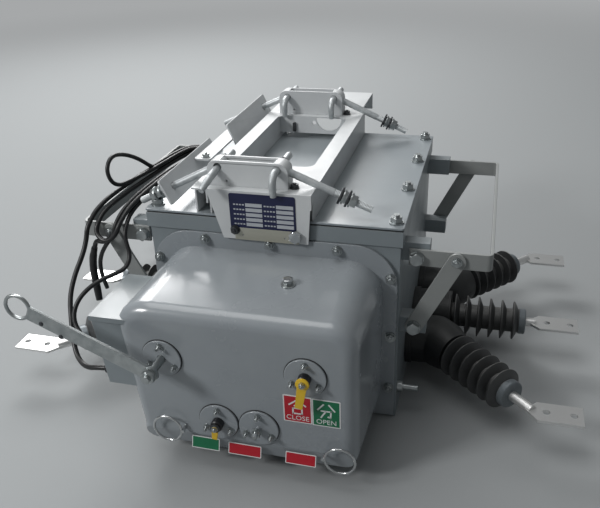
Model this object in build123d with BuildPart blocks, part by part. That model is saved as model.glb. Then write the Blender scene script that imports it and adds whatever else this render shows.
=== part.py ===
# Outdoor vacuum circuit breaker of the box type, for 12 kV overhead lines.
# The frame's origin is the centre of the tank's flat bottom. Seen from the mechanism,
# +X is to the right, +Y runs to the rear and +Z points up. Sizes are in millimetres.
import os
from math import atan2, cos, degrees, hypot, pi, radians, sin, sqrt, tan

from build123d import *

os.makedirs("parts", exist_ok=True)

# Tank
tank_width = 450.0
tank_depth = 473.0
tank_height = 383.0
tank_wall = 3.0
rim_height = 28.0
rim_wall = 4.0
gasket_thickness = 3.0
gasket_width = 16.0
lid_thickness = 4.0
lid_overhang = 5.0

# Mechanism flange on the front wall of the tank
flange_width = 444.0
flange_bottom = 6.0
flange_top = 354.0
flange_corner = 75.0
flange_thickness = 7.0

# Mechanism housing, drafted from its back towards its front face
housing_depth = 188.5
housing_wall = 3.0
housing_back_width = 396.0
housing_back_bottom = 38.0
housing_back_top = 325.0
housing_back_corner = 60.0
housing_front_width = 380.0
housing_front_bottom = 42.0
housing_front_top = 308.0
housing_front_corner = 46.0
housing_foot_corner = 28.0
housing_edge_radius = 24.0
chin_height = 26.0

# Round bearing plates on the front face: place of each centre, and the common plate
plate_radius = 34.0
plate_thickness = 4.0
plate_edge = 0.8
charge_place = (-131.0, 217.0)
position_place = (109.0, 217.0)
spring_place = (-43.0, 102.0)
blank_place = (27.0, 102.0)
bore_clearance = 0.3

# Charging lever
charge_shaft_radius = 7.0
charge_shaft_reach = 56.0
lever_offset = 38.0
lever_thickness = 5.0
lever_width = 25.0
lever_length = 218.0
lever_rise = 24.0
lever_hub_radius = 14.0
lever_ring_radius = 21.0
lever_ring_wire = 3.0

# Pointers
pointer_shaft_radius = 4.5
pointer_offset = 14.0
pointer_thickness = 2.0
pointer_taper = 0.75
position_pointer_length = 48.0
position_pointer_width = 16.0
position_pointer_lean = 9.0
spring_pointer_length = 24.0
spring_pointer_width = 12.0
spring_pointer_lean = 8.0
spindle_reach = 22.0

# Pull rings at the chin
pull_ring_radius = 25.0
pull_ring_wire = 2.2
pull_rod_radius = 3.0
pull_rod_reach = 14.0
close_pull_place = (136.0, 66.0)
open_pull_place = (-106.0, 78.0)

# Terminal box on the left side of the housing
box_top = 280.0
box_bottom = 147.0
box_setback = 4.0
box_length = 138.0
box_reach_top = 253.0
box_reach_bottom = 240.0
box_cover_thickness = 2.0
box_cover_skirt = 9.0
box_cover_lip = 2.5
gland_radius = 16.0
gland_reach = 22.0
gland_setback = 43.0
gland_height = 237.0
lower_gland_radius = 10.0
lower_gland_reach = 14.0
lower_gland_setback = 43.0
lower_gland_height = 199.0
foot_gland_setback = 20.0
foot_gland_height = 161.0
gland_nut_share = 0.35
gland_cap_share = 0.86
gland_edge_share = 0.2

# Vent plug on top of the housing
plug_x = 57.0
plug_setback = 86.5
plug_radius = 8.0
plug_height = 9.0
plug_washer_radius = 12.0
plug_washer_thickness = 2.5

# U-shaped guards of flat bar at the sides, with their braces and lugs
guard_bar_height = 30.0
guard_bar_thickness = 5.0
guard_top = 345.0
guard_standoff = 146.0
guard_root_gap = 12.0
guard_inset = 17.5
guard_bend_radius = 8.0
lug_reach = 46.0
lug_depth = 26.0
lug_height = 34.0
lug_rise = 10.0
brace_width = 30.0
brace_thickness = 5.0
brace_head_standoff = 91.0
brace_foot_standoff = 25.0
brace_foot_z = 196.0
brace_lug_height = 30.0
guard_hole_radius = 7.5

# Bushings: three on each side, the outer two of a side turned out by bushing_fan
bushing_height = 74.0
bushing_middle_y = 25.0
bushing_pitch = 103.0
bushing_fan = 45.0
elbow_standoff = 57.0
root_radius = 48.0
root_collar_radius = 51.0
root_collar_length = 12.0
neck_radius = 40.0
neck_reach = 8.4
neck_shoulder = 24.0
middle_neck_standoff = 78.0
core_radius = 24.0
shed_radius = 43.0
shed_taper = 0.8
shed_count = 6
shed_pitch = 23.5
shed_first = 9.0
shed_rim = 2.5
shed_slope = 9.0
end_cap_radius = 25.0
end_cap_length = 12.0
stud_radius = 9.0
stud_length = 48.0
middle_stud_length = 20.0
pad_length = 75.0
pad_width = 48.0
pad_thickness = 5.0
pad_neck_length = 8.0
pad_hole_radius = 6.5
pad_hole_spacing = 45.0
pad_hole_edge = 15.0

# Mounting frame of folded sheet on the lid
frame_sheet = 3.0
frame_height = 50.0
frame_left = -132.0
frame_right = 78.0
frame_front_overhang = 13.5
frame_front_deck = 129.0
frame_rear_deck = 52.5
frame_rear_overhang = 158.5
frame_rear_right = 68.0
frame_flange_drop = 38.0
channel_width = 29.0
apron_drop = 39.0
apron_left_top = -106.0
apron_left_foot = -80.0
apron_right_foot = 71.0
gusset_depth = 30.0
gusset_height = 26.0
frame_corner = 18.0
web_notch_place = 8.0
web_notch_radius = 28.0
web_hole_place = (-25.0, 426.0)
web_hole_radius = 4.5

# Hangers that stand on the frame
hanger_centre = -36.0
hanger_width = 142.0
hanger_front_height = 45.0
hanger_rear_height = 50.0
hanger_depth = 30.0
hanger_sheet = 4.0
hanger_corner = 16.0
hanger_front_setback = 18.0
hanger_rear_setback = 16.0

# Hook bolts: a bent bar through each end of a hanger, hook in front, thread outwards
hook_bar_radius = 6.5
hook_bend_radius = 15.0
hook_clearance = 0.4
hook_half_spacing = 52.0
hook_front_height = 33.0
hook_rear_height = 36.0
hook_inset = 16.0
hook_forward = 28.0
hook_drop = 36.0
swung_hook_aside = 12.0
swung_hook_forward = 66.0
swung_hook_drop = 24.0
bolt_run = 157.0

# Clamp plates on the left hook bolts
clamp_length = 238.0
clamp_height = 47.0
clamp_thickness = 4.0
clamp_front_run = 103.0
clamp_rear_run = 68.0
clamp_front_reach = 34.0
clamp_rear_reach = 208.0
clamp_gap = 0.5

# Tie strip between the two clamp plates
tie_front = -112.0
tie_rear = 80.0
tie_thickness = 4.0
tie_corner = 6.0
tie_hole_radius = 5.5
tie_hole_edge = 12.0
tie_clearance = 0.3

# Nameplate on the apron
nameplate_width = 116.0
nameplate_height = 66.0
nameplate_thickness = 1.0
nameplate_centre = -7.0
nameplate_top_drop = 4.0

# Earth stud on the right wall
earth_inset = 14.5
earth_height = 60.0
earth_boss_radius = 11.0
earth_boss_length = 10.0
earth_stud_radius = 6.0
earth_stud_length = 38.0

# Control cables: two leave the terminal box and meet in a hank hung over the left guard
cable_radius = 4.5
sleeve_radius = 7.0
hank_radius = 10.0
cable_entry = 19.0
thin_end_radius = 4.0
loop_radius = 3.5
hank_route = (
    (-341.0, -235.0, 351.0),
    (-337.0, -244.0, 331.0),
    (-316.0, -249.0, 318.0),
    (-295.0, -244.0, 330.0),
    (-290.0, -235.0, 351.0),
    (-284.0, -204.0, 370.0),
    (-268.0, -140.0, 385.0),
    (-250.0, -70.0, 396.0),
    (-236.0, -15.0, 400.3),
    (-228.0, 16.0, 400.3),
    (-237.0, 34.0, 400.3),
    (-254.0, 32.0, 400.3),
    (-268.0, 10.0, 398.0),
    (-291.0, -45.0, 391.0),
    (-320.0, -130.0, 380.0),
    (-338.0, -204.0, 368.5),
)
outer_cable_route = (
    (-354.3, -239.0, 344.0),
    (-354.5, -248.0, 322.0),
    (-358.0, -263.0, 297.0),
    (-366.0, -290.0, 266.0),
    (-365.0, -318.0, 236.0),
    (-354.0, -342.0, 207.0),
    (-343.0, -363.0, 180.0),
    (-330.0, -381.0, 159.0),
    (-312.0, -395.0, 150.0),
    (-292.0, -404.0, 151.0),
)
upper_cable_route = (
    (-306.0, -382.0, 199.0),
    (-324.0, -373.0, 209.0),
    (-334.0, -361.0, 228.0),
    (-330.0, -346.0, 249.0),
    (-316.0, -329.0, 266.0),
    (-298.0, -311.0, 276.0),
    (-281.0, -292.0, 279.0),
    (-270.8, -274.9, 280.2),
    (-266.4, -261.0, 289.0),
    (-267.4, -251.5, 303.0),
    (-274.0, -247.5, 321.0),
    (-277.8, -241.0, 341.0),
)
sleeve_route = (
    (-338.5, -242.0, 319.5),
    (-348.0, -238.0, 299.0),
    (-358.0, -235.0, 274.0),
    (-361.0, -236.0, 246.0),
    (-357.0, -241.0, 217.0),
    (-352.0, -248.0, 190.0),
)
thin_end_route = (
    (-320.0, -247.0, 309.5),
    (-331.0, -245.0, 293.0),
    (-340.0, -242.0, 269.0),
    (-343.0, -238.0, 240.0),
    (-340.0, -233.0, 210.0),
)
loop_route = (
    (-324.0, -146.0, 390.3),
    (-328.0, -165.4, 398.8),
    (-330.5, -176.0, 415.0),
    (-332.0, -176.6, 432.0),
    (-331.5, -166.6, 445.6),
    (-329.5, -150.4, 450.9),
    (-326.0, -130.8, 446.7),
    (-319.5, -107.0, 436.1),
    (-310.5, -84.3, 419.6),
    (-301.0, -66.6, 400.6),
)

# Levels and faces that several pieces share
tank_side = tank_width / 2
tank_front = -tank_depth / 2
tank_rear = tank_depth / 2
lid_bottom = tank_height + gasket_thickness
lid_top = lid_bottom + lid_thickness
lid_width = tank_width + 2 * lid_overhang
lid_depth = tank_depth + 2 * lid_overhang
flange_front = tank_front - flange_thickness
housing_front = flange_front - housing_depth
plate_front = housing_front - plate_thickness
frame_top = lid_top + frame_height
frame_front = tank_front - frame_front_overhang
frame_window_front = frame_front + frame_front_deck
frame_window_rear = tank_rear - frame_rear_deck
frame_rear = tank_rear + frame_rear_overhang
hanger_front_y = frame_front + hanger_front_setback
hanger_rear_y = frame_window_rear + hanger_rear_setback
box_front = housing_front + box_setback
box_rear = box_front + box_length
guard_root = tank_side + guard_root_gap
guard_reach = tank_side + guard_standoff
guard_half_depth = tank_depth / 2 - guard_inset
brace_head_x = tank_side + brace_head_standoff
brace_foot_x = tank_side + brace_foot_standoff
elbow_x = tank_side + elbow_standoff
middle_neck_x = tank_side + middle_neck_standoff

finished = []


def keep(part, name):
    """Labels a finished piece and lists it for the STEP files."""
    part.label = name
    finished.append(part)
    return part


def front_plane(y):
    """A plane that faces the front, with X to the right and Z up, at depth y."""
    return Plane(origin=(0, y, 0), x_dir=(1, 0, 0), z_dir=(0, -1, 0))


def mirrored(part, name):
    """The same piece on the left side of the breaker."""
    with BuildPart() as twin:
        add(mirror(part, about=Plane.YZ))
    return keep(twin.part, name)


# Tank: folded box with an open top, and the lugs welded to its side walls
with BuildPart() as tank_body:
    with BuildSketch(Plane.XY):
        Rectangle(tank_width, tank_depth)
    extrude(amount=tank_height)
    with BuildSketch(Plane.XY.offset(tank_wall)):
        Rectangle(tank_width - 2 * tank_wall, tank_depth - 2 * tank_wall)
    extrude(amount=tank_height, mode=Mode.SUBTRACT)
    lug_span = guard_half_depth - guard_bar_thickness / 2
    lug_x = tank_side + lug_reach / 2
    with Locations(
        (lug_x, lug_depth / 2 - lug_span, guard_top + lug_rise - lug_height / 2),
        (lug_x, lug_span - lug_depth / 2, guard_top + lug_rise - lug_height / 2),
        (-lug_x, lug_depth / 2 - lug_span, guard_top + lug_rise - lug_height / 2),
        (-lug_x, lug_span - lug_depth / 2, guard_top + lug_rise - lug_height / 2),
    ):
        Box(lug_reach, lug_depth, lug_height)
    foot_span = guard_half_depth + guard_bar_thickness / 2
    foot_lug_depth = lug_depth + guard_bar_thickness
    with Locations(
        (lug_x, foot_lug_depth / 2 - foot_span, brace_foot_z),
        (lug_x, foot_span - foot_lug_depth / 2, brace_foot_z),
        (-lug_x, foot_lug_depth / 2 - foot_span, brace_foot_z),
        (-lug_x, foot_span - foot_lug_depth / 2, brace_foot_z),
    ):
        Box(lug_reach, foot_lug_depth, brace_lug_height)
keep(tank_body.part, "tank_body")

with BuildPart() as tank_rim:
    with BuildSketch(Plane.XY.offset(tank_height - rim_height)):
        Rectangle(tank_width + 2 * rim_wall, tank_depth + 2 * rim_wall)
        Rectangle(tank_width, tank_depth, mode=Mode.SUBTRACT)
    extrude(amount=rim_height)
keep(tank_rim.part, "tank_rim")

with BuildPart() as lid_gasket:
    with BuildSketch(Plane.XY.offset(tank_height)):
        Rectangle(tank_width + rim_wall, tank_depth + rim_wall)
        Rectangle(tank_width - 2 * gasket_width, tank_depth - 2 * gasket_width, mode=Mode.SUBTRACT)
    extrude(amount=gasket_thickness)
keep(lid_gasket.part, "lid_gasket")

with BuildPart() as lid:
    with BuildSketch(Plane.XY.offset(lid_bottom)):
        RectangleRounded(lid_width, lid_depth, lid_overhang)
    extrude(amount=lid_thickness)
keep(lid.part, "lid")

# Mechanism flange: wide round corners above, square corners below
with BuildPart() as mechanism_flange:
    with BuildSketch(front_plane(tank_front)) as flange_outline:
        with Locations((0, (flange_top + flange_bottom) / 2)):
            Rectangle(flange_width, flange_top - flange_bottom)
        fillet(flange_outline.vertices().group_by(Axis.Y)[-1], flange_corner)
    extrude(amount=flange_thickness)
keep(mechanism_flange.part, "mechanism_flange")


def housing_section(y, width, bottom, top, corner):
    """One upright section of the housing, round above and nearly square below."""
    with BuildSketch(front_plane(y)) as section:
        with Locations((0, (top + bottom) / 2)):
            Rectangle(width, top - bottom)
        fillet(section.vertices().group_by(Axis.Y)[-1], corner)
        fillet(section.vertices().group_by(Axis.Y)[0], housing_foot_corner)
    return section.sketch


def housing_solid(inset):
    """The housing's form, drawn in by inset: drafted, round-edged, its foot cut to a sloping chin."""
    with BuildPart() as form:
        add(
            housing_section(
                flange_front,
                housing_back_width - 2 * inset,
                housing_back_bottom + inset,
                housing_back_top - inset,
                housing_back_corner - inset,
            )
        )
        add(
            housing_section(
                housing_front + inset,
                housing_front_width - 2 * inset,
                housing_front_bottom + inset,
                housing_front_top - inset,
                housing_front_corner - inset,
            )
        )
        loft()
        fillet(form.faces().sort_by(Axis.Y)[0].edges(), housing_edge_radius - inset)
        chin_shift = inset * sqrt(2)
        below = housing_front_bottom - chin_height
        before = housing_front - chin_height
        with BuildSketch(Plane(origin=(-housing_front_width, 0, 0), x_dir=(0, 1, 0), z_dir=(1, 0, 0))):
            with BuildLine():
                Polyline(
                    (before, housing_front_bottom + 2 * chin_height + chin_shift),
                    (housing_front + 2 * chin_height + chin_shift, below),
                    (before, below),
                    close=True,
                )
            make_face()
        extrude(amount=2 * housing_front_width, mode=Mode.SUBTRACT)
    return form.part


# Mechanism housing: a deep-drawn cover, open towards the flange
housing_form = housing_solid(0)
with BuildPart() as mechanism_housing:
    add(housing_form)
    add(housing_solid(housing_wall), mode=Mode.SUBTRACT)
keep(mechanism_housing.part, "mechanism_housing")

# Vent plug, square to the sloping top of the housing
top_fall = housing_back_top - housing_front_top
top_slope = atan2(top_fall, housing_depth)
plug_z = housing_back_top - top_fall * plug_setback / housing_depth
with BuildPart() as vent_plug:
    plug_seat = Plane(
        origin=(plug_x, flange_front - plug_setback, plug_z), z_dir=(0, -sin(top_slope), cos(top_slope))
    )
    with BuildSketch(plug_seat):
        Circle(plug_washer_radius)
    extrude(amount=plug_washer_thickness)
    with BuildSketch(plug_seat.offset(plug_washer_thickness)):
        RegularPolygon(plug_radius, 6)
    extrude(amount=plug_height - plug_washer_thickness)
keep(vent_plug.part, "vent_plug")

# Terminal box on the left of the housing, its outer wall leaning in below
with BuildPart() as side_box:
    with BuildSketch(front_plane(box_rear)):
        with BuildLine():
            Polyline(
                (-box_reach_top, box_top - box_cover_thickness),
                (-housing_front_width / 4, box_top - box_cover_thickness),
                (-housing_front_width / 4, box_bottom),
                (-box_reach_bottom, box_bottom),
                close=True,
            )
        make_face()
    extrude(amount=box_length)
    add(housing_form, mode=Mode.SUBTRACT)
keep(side_box.part, "side_box")

with BuildPart() as side_box_cover:
    cover_outer = box_reach_top + box_cover_lip
    cover_inner = housing_front_width / 4
    cover_middle = (box_front + box_rear) / 2
    with BuildSketch(Plane.XY.offset(box_top - box_cover_skirt)):
        with Locations((-(cover_outer + cover_inner) / 2, cover_middle)):
            Rectangle(cover_outer - cover_inner, box_length + 2 * box_cover_lip)
    extrude(amount=box_cover_skirt)
    with BuildSketch(Plane.XY.offset(box_top - box_cover_skirt)):
        with Locations((-(box_reach_top + bore_clearance) / 2, cover_middle)):
            Rectangle(box_reach_top + bore_clearance, box_length + 2 * bore_clearance)
    extrude(amount=box_cover_skirt - box_cover_thickness, mode=Mode.SUBTRACT)
    add(housing_form, mode=Mode.SUBTRACT)
keep(side_box_cover.part, "side_box_cover")

# Glands on the leaning outer wall of the box
box_lean = (box_reach_top - box_reach_bottom) / (box_top - box_cover_thickness - box_bottom)
wall_normal = Vector(-1, 0, -box_lean).normalized()


def make_gland(setback, height, radius, reach):
    """A cable gland on the box's outer wall: hexagon at the wall, and a round cap nut."""
    x = box_reach_bottom + box_lean * (height - box_bottom)
    seat = Plane(origin=(-x, box_front + setback, height), x_dir=(0, 1, 0), z_dir=wall_normal)
    nut_height = reach * gland_nut_share
    with BuildPart() as gland:
        with BuildSketch(seat):
            RegularPolygon(radius, 6)
        extrude(amount=nut_height)
        with BuildSketch(seat.offset(nut_height)):
            Circle(radius * gland_cap_share)
        extrude(amount=reach - nut_height)
        outer_rim = gland.faces().filter_by(GeomType.PLANE).sort_by(Axis.X)[0].edges()
        chamfer(outer_rim, radius * gland_edge_share)
    return gland.part


keep(make_gland(gland_setback, gland_height, gland_radius, gland_reach), "cable_gland")
with BuildPart() as lower_glands:
    for setback, height in (
        (lower_gland_setback, lower_gland_height),
        (foot_gland_setback, foot_gland_height),
    ):
        add(make_gland(setback, height, lower_gland_radius, lower_gland_reach))
keep(lower_glands.part, "lower_cable_gland")


def bearing_plate(place, shaft_radius):
    """A round plate on the front face, its outer edge chamfered, with the bore of its shaft."""
    with BuildPart() as plate:
        with BuildSketch(front_plane(housing_front)):
            with Locations(place):
                Circle(plate_radius)
        extrude(amount=plate_thickness)
        rim = plate.edges().filter_by(GeomType.CIRCLE).group_by(Axis.Y)[0]
        chamfer(rim, plate_edge)
        if shaft_radius > 0:
            with BuildSketch(front_plane(housing_front)):
                with Locations(place):
                    Circle(shaft_radius + bore_clearance)
            extrude(amount=plate_thickness, mode=Mode.SUBTRACT)
    return plate.part


keep(bearing_plate(charge_place, charge_shaft_radius), "charge_shaft_plate")
keep(bearing_plate(position_place, pointer_shaft_radius), "position_plate")
keep(bearing_plate(spring_place, pointer_shaft_radius), "spring_plate")

with BuildPart() as blank_plate:
    add(bearing_plate(blank_place, 0))
    with BuildSketch(front_plane(plate_front)):
        with Locations(blank_place):
            Circle(pointer_shaft_radius)
    extrude(amount=spindle_reach)
keep(blank_plate.part, "blank_plate")

# Charging lever: shaft, hub, flat bar that rises to the left, and its ring
shaft_root = housing_front - bore_clearance
lever_back = plate_front - lever_offset
lever_angle = 180 - lever_rise
lever_direction = Vector(cos(radians(lever_angle)), sin(radians(lever_angle)))
charge_centre = Vector(*charge_place)
with BuildPart() as charge_lever:
    with BuildSketch(front_plane(shaft_root)):
        with Locations(charge_place):
            Circle(charge_shaft_radius)
    extrude(amount=plate_thickness + charge_shaft_reach)
    with BuildSketch(front_plane(lever_back)):
        bar_middle = charge_centre + lever_direction * (lever_length / 2)
        with Locations(Location((bar_middle.X, bar_middle.Y), lever_angle)):
            Rectangle(lever_length, lever_width)
        with Locations(charge_place):
            Circle(lever_hub_radius)
    extrude(amount=lever_thickness)
    ring_centre = charge_centre + lever_direction * (lever_length + lever_ring_radius - lever_ring_wire)
    ring_y = lever_back - lever_thickness / 2
    ring_axis = Axis((ring_centre.X, ring_y, ring_centre.Y), (0, 1, 0))
    ring_start = Plane(
        origin=(ring_centre.X + lever_ring_radius, ring_y, ring_centre.Y), x_dir=(1, 0, 0), z_dir=(0, 0, 1)
    )
    with BuildSketch(ring_start):
        Circle(lever_ring_wire)
    revolve(axis=ring_axis)
keep(charge_lever.part, "charge_lever")


def make_pointer(place, length, width, lean, name):
    """A pointer on its shaft: a flat tapered blade that hangs down, leaning to the left by lean."""
    angle = radians(-90 - lean)
    along = Vector(cos(angle), sin(angle))
    across = Vector(-along.Y, along.X)
    centre = Vector(*place)
    with BuildPart() as pointer:
        with BuildSketch(front_plane(housing_front - bore_clearance)):
            with Locations(place):
                Circle(pointer_shaft_radius)
        extrude(amount=plate_thickness + pointer_offset + 2 * pointer_thickness)
        with BuildSketch(front_plane(plate_front - pointer_offset)):
            with Locations(place):
                Circle(width / 2)
            with BuildLine():
                Polyline(
                    centre - across * (width / 2),
                    centre + along * length - across * (width / 2 * pointer_taper),
                    centre + along * length + across * (width / 2 * pointer_taper),
                    centre + across * (width / 2),
                    close=True,
                )
            make_face()
        extrude(amount=pointer_thickness)
    return keep(pointer.part, name)


make_pointer(
    position_place, position_pointer_length, position_pointer_width, position_pointer_lean, "position_pointer"
)
make_pointer(spring_place, spring_pointer_length, spring_pointer_width, spring_pointer_lean, "spring_pointer")


def make_pull(place, side, name):
    """A pull ring beside its rod: side is 1 for a ring to the right, -1 to the left."""
    x, z = place
    chin_fall = max(0, housing_front_bottom + chin_height - z - pull_rod_radius)
    rod_root = housing_front + chin_fall - bore_clearance
    rod_front = housing_front - pull_rod_reach
    ring_x = x + side * (pull_rod_radius + pull_ring_radius)
    with BuildPart() as pull:
        with BuildSketch(front_plane(rod_root)):
            with Locations((x, z)):
                Circle(pull_rod_radius)
        extrude(amount=rod_root - rod_front)
        with BuildSketch(
            Plane(
                origin=(ring_x + pull_ring_radius, rod_front + pull_rod_radius, z),
                x_dir=(1, 0, 0),
                z_dir=(0, 0, 1),
            )
        ):
            Circle(pull_ring_wire)
        revolve(axis=Axis((ring_x, rod_front + pull_rod_radius, z), (0, 1, 0)))
    return keep(pull.part, name)


make_pull(close_pull_place, 1, "close_pull_ring")
make_pull(open_pull_place, -1, "open_pull_ring")

# Guard: flat bar on edge, bent to a U, with a bolt hole at each root
guard_outer = guard_reach + guard_bar_thickness / 2
with BuildPart() as guard_right:
    with BuildSketch(Plane.XY.offset(guard_top - guard_bar_height)):
        with BuildLine():
            guard_line = FilletPolyline(
                (guard_root, -guard_half_depth),
                (guard_reach, -guard_half_depth),
                (guard_reach, guard_half_depth),
                (guard_root, guard_half_depth),
                radius=guard_bend_radius,
            )
        trace(line_width=guard_bar_thickness)
    extrude(amount=guard_bar_height)
keep(guard_right.part, "guard_right")
mirrored(guard_right.part, "guard_left")

# Braces: one flat bar outside each leg of a guard, from the leg down to the lower lug
brace_head_z = guard_top - guard_bar_height / 2
brace_run = hypot(brace_head_x - brace_foot_x, brace_head_z - brace_foot_z)
brace_angle = degrees(atan2(brace_head_z - brace_foot_z, brace_head_x - brace_foot_x))
brace_centre = ((brace_head_x + brace_foot_x) / 2, (brace_head_z + brace_foot_z) / 2)
brace_plane_y = guard_half_depth + guard_bar_thickness / 2
with BuildPart() as braces_right:
    for brace_back in (-brace_plane_y, brace_plane_y + brace_thickness):
        with BuildSketch(front_plane(brace_back)):
            with Locations(Location(brace_centre, brace_angle)):
                SlotCenterToCenter(brace_run, brace_width)
            with Locations((brace_foot_x, brace_foot_z), (brace_head_x, brace_head_z)):
                Circle(guard_hole_radius, mode=Mode.SUBTRACT)
        extrude(amount=brace_thickness)
keep(braces_right.part, "braces_right")
mirrored(braces_right.part, "braces_left")


def bushing_frame(origin, direction):
    """A plane whose X runs along a bushing and whose Y points up, for turned profiles."""
    return Plane(origin=origin, x_dir=direction, z_dir=direction.cross(Vector(0, 0, 1)))


def make_root(y, fan):
    """The resin root with its current transformer, with an elbow where the bushing fans out."""
    with BuildPart() as root:
        wall = Vector(tank_side, y, bushing_height)
        outward = Vector(1, 0, 0)
        frame = bushing_frame(wall, outward)
        barrel_length = (elbow_x if fan else middle_neck_x) - tank_side
        with BuildSketch(frame):
            with BuildLine():
                Polyline(
                    (0, 0),
                    (0, root_collar_radius),
                    (root_collar_length, root_collar_radius),
                    (root_collar_length, root_radius),
                    (barrel_length, root_radius),
                    (barrel_length, 0),
                    close=True,
                )
            make_face()
        revolve(axis=Axis(wall, outward))
        if fan:
            turned = Vector(cos(radians(fan)), sin(radians(fan)), 0)
            elbow = Vector(elbow_x, y, bushing_height)
            with Locations(elbow):
                Sphere(root_radius)
            with BuildSketch(bushing_frame(elbow, turned)):
                with BuildLine():
                    Polyline(
                        (0, 0),
                        (0, root_radius),
                        (neck_shoulder, root_radius),
                        (root_radius + neck_reach, neck_radius),
                        (root_radius + neck_reach, 0),
                        close=True,
                    )
                make_face()
            revolve(axis=Axis(elbow, turned))
    return root.part


def shed_profile():
    """Half the section of the shed body: core, sheds that shrink outwards, end cap."""
    points = [(0, 0), (0, core_radius)]
    for number in range(shed_count):
        middle = shed_first + number * shed_pitch
        radius = shed_radius - number * shed_taper
        points += [
            (middle - shed_rim, core_radius),
            (middle - shed_rim / 2, radius),
            (middle + shed_rim / 2, radius),
            (middle + shed_slope, core_radius),
        ]
    cap_start = shed_first + (shed_count - 1) * shed_pitch + shed_slope + shed_rim
    points += [
        (cap_start, core_radius),
        (cap_start, end_cap_radius),
        (cap_start + end_cap_length, end_cap_radius),
        (cap_start + end_cap_length, 0),
    ]
    return points


shed_length = shed_first + (shed_count - 1) * shed_pitch + shed_slope + shed_rim + end_cap_length


def make_sheds(start, direction):
    """The silicone shed body, turned about the bushing's axis."""
    with BuildPart() as sheds:
        with BuildSketch(bushing_frame(start, direction)):
            with BuildLine():
                Polyline(*shed_profile(), close=True)
            make_face()
        revolve(axis=Axis(start, direction))
    return sheds.part


def make_terminal(start, direction, stud):
    """Stud and flat two-hole pad; the pad runs along X whichever way the stud points."""
    stud_end = start + direction * stud
    across = Vector(-direction.Y, direction.X, 0)
    pad_y = stud_end.Y + direction.Y * pad_neck_length * 0.5
    pad_x = stud_end.X + pad_neck_length
    with BuildPart() as terminal:
        with BuildSketch(Plane(origin=start, z_dir=direction)):
            Circle(stud_radius)
        extrude(amount=stud)
        with BuildSketch(Plane.XY.offset(bushing_height - pad_thickness / 2)):
            with BuildLine():
                left = stud_end - direction * stud_radius + across * stud_radius
                right = stud_end - direction * stud_radius - across * stud_radius
                Polyline(
                    (left.X, left.Y),
                    (right.X, right.Y),
                    (pad_x, pad_y - pad_width / 2),
                    (pad_x, pad_y + pad_width / 2),
                    close=True,
                )
            make_face()
            with Locations((pad_x + pad_length / 2, pad_y)):
                Rectangle(pad_length, pad_width)
            with Locations(
                (pad_x + pad_length - pad_hole_edge, pad_y),
                (pad_x + pad_length - pad_hole_edge - pad_hole_spacing, pad_y),
            ):
                Circle(pad_hole_radius, mode=Mode.SUBTRACT)
        extrude(amount=pad_thickness)
    return terminal.part


# Bushings of the right side, each with its twin on the left
for place, row, fan in (("front", -1, -bushing_fan), ("middle", 0, 0), ("rear", 1, bushing_fan)):
    axis_y = bushing_middle_y + row * bushing_pitch
    axis_direction = Vector(cos(radians(fan)), sin(radians(fan)), 0)
    if fan:
        sheds_start = Vector(elbow_x, axis_y, bushing_height) + axis_direction * (
            root_radius + neck_reach
        )
    else:
        sheds_start = Vector(middle_neck_x, axis_y, bushing_height)
    root_part = keep(make_root(axis_y, fan), f"bushing_root_{place}_right")
    sheds_part = keep(make_sheds(sheds_start, axis_direction), f"bushing_sheds_{place}_right")
    terminal_part = keep(
        make_terminal(
            sheds_start + axis_direction * shed_length,
            axis_direction,
            stud_length if fan else middle_stud_length,
        ),
        f"terminal_{place}_right",
    )
    mirrored(root_part, f"bushing_root_{place}_left")
    mirrored(sheds_part, f"bushing_sheds_{place}_left")
    mirrored(terminal_part, f"terminal_{place}_left")

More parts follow.
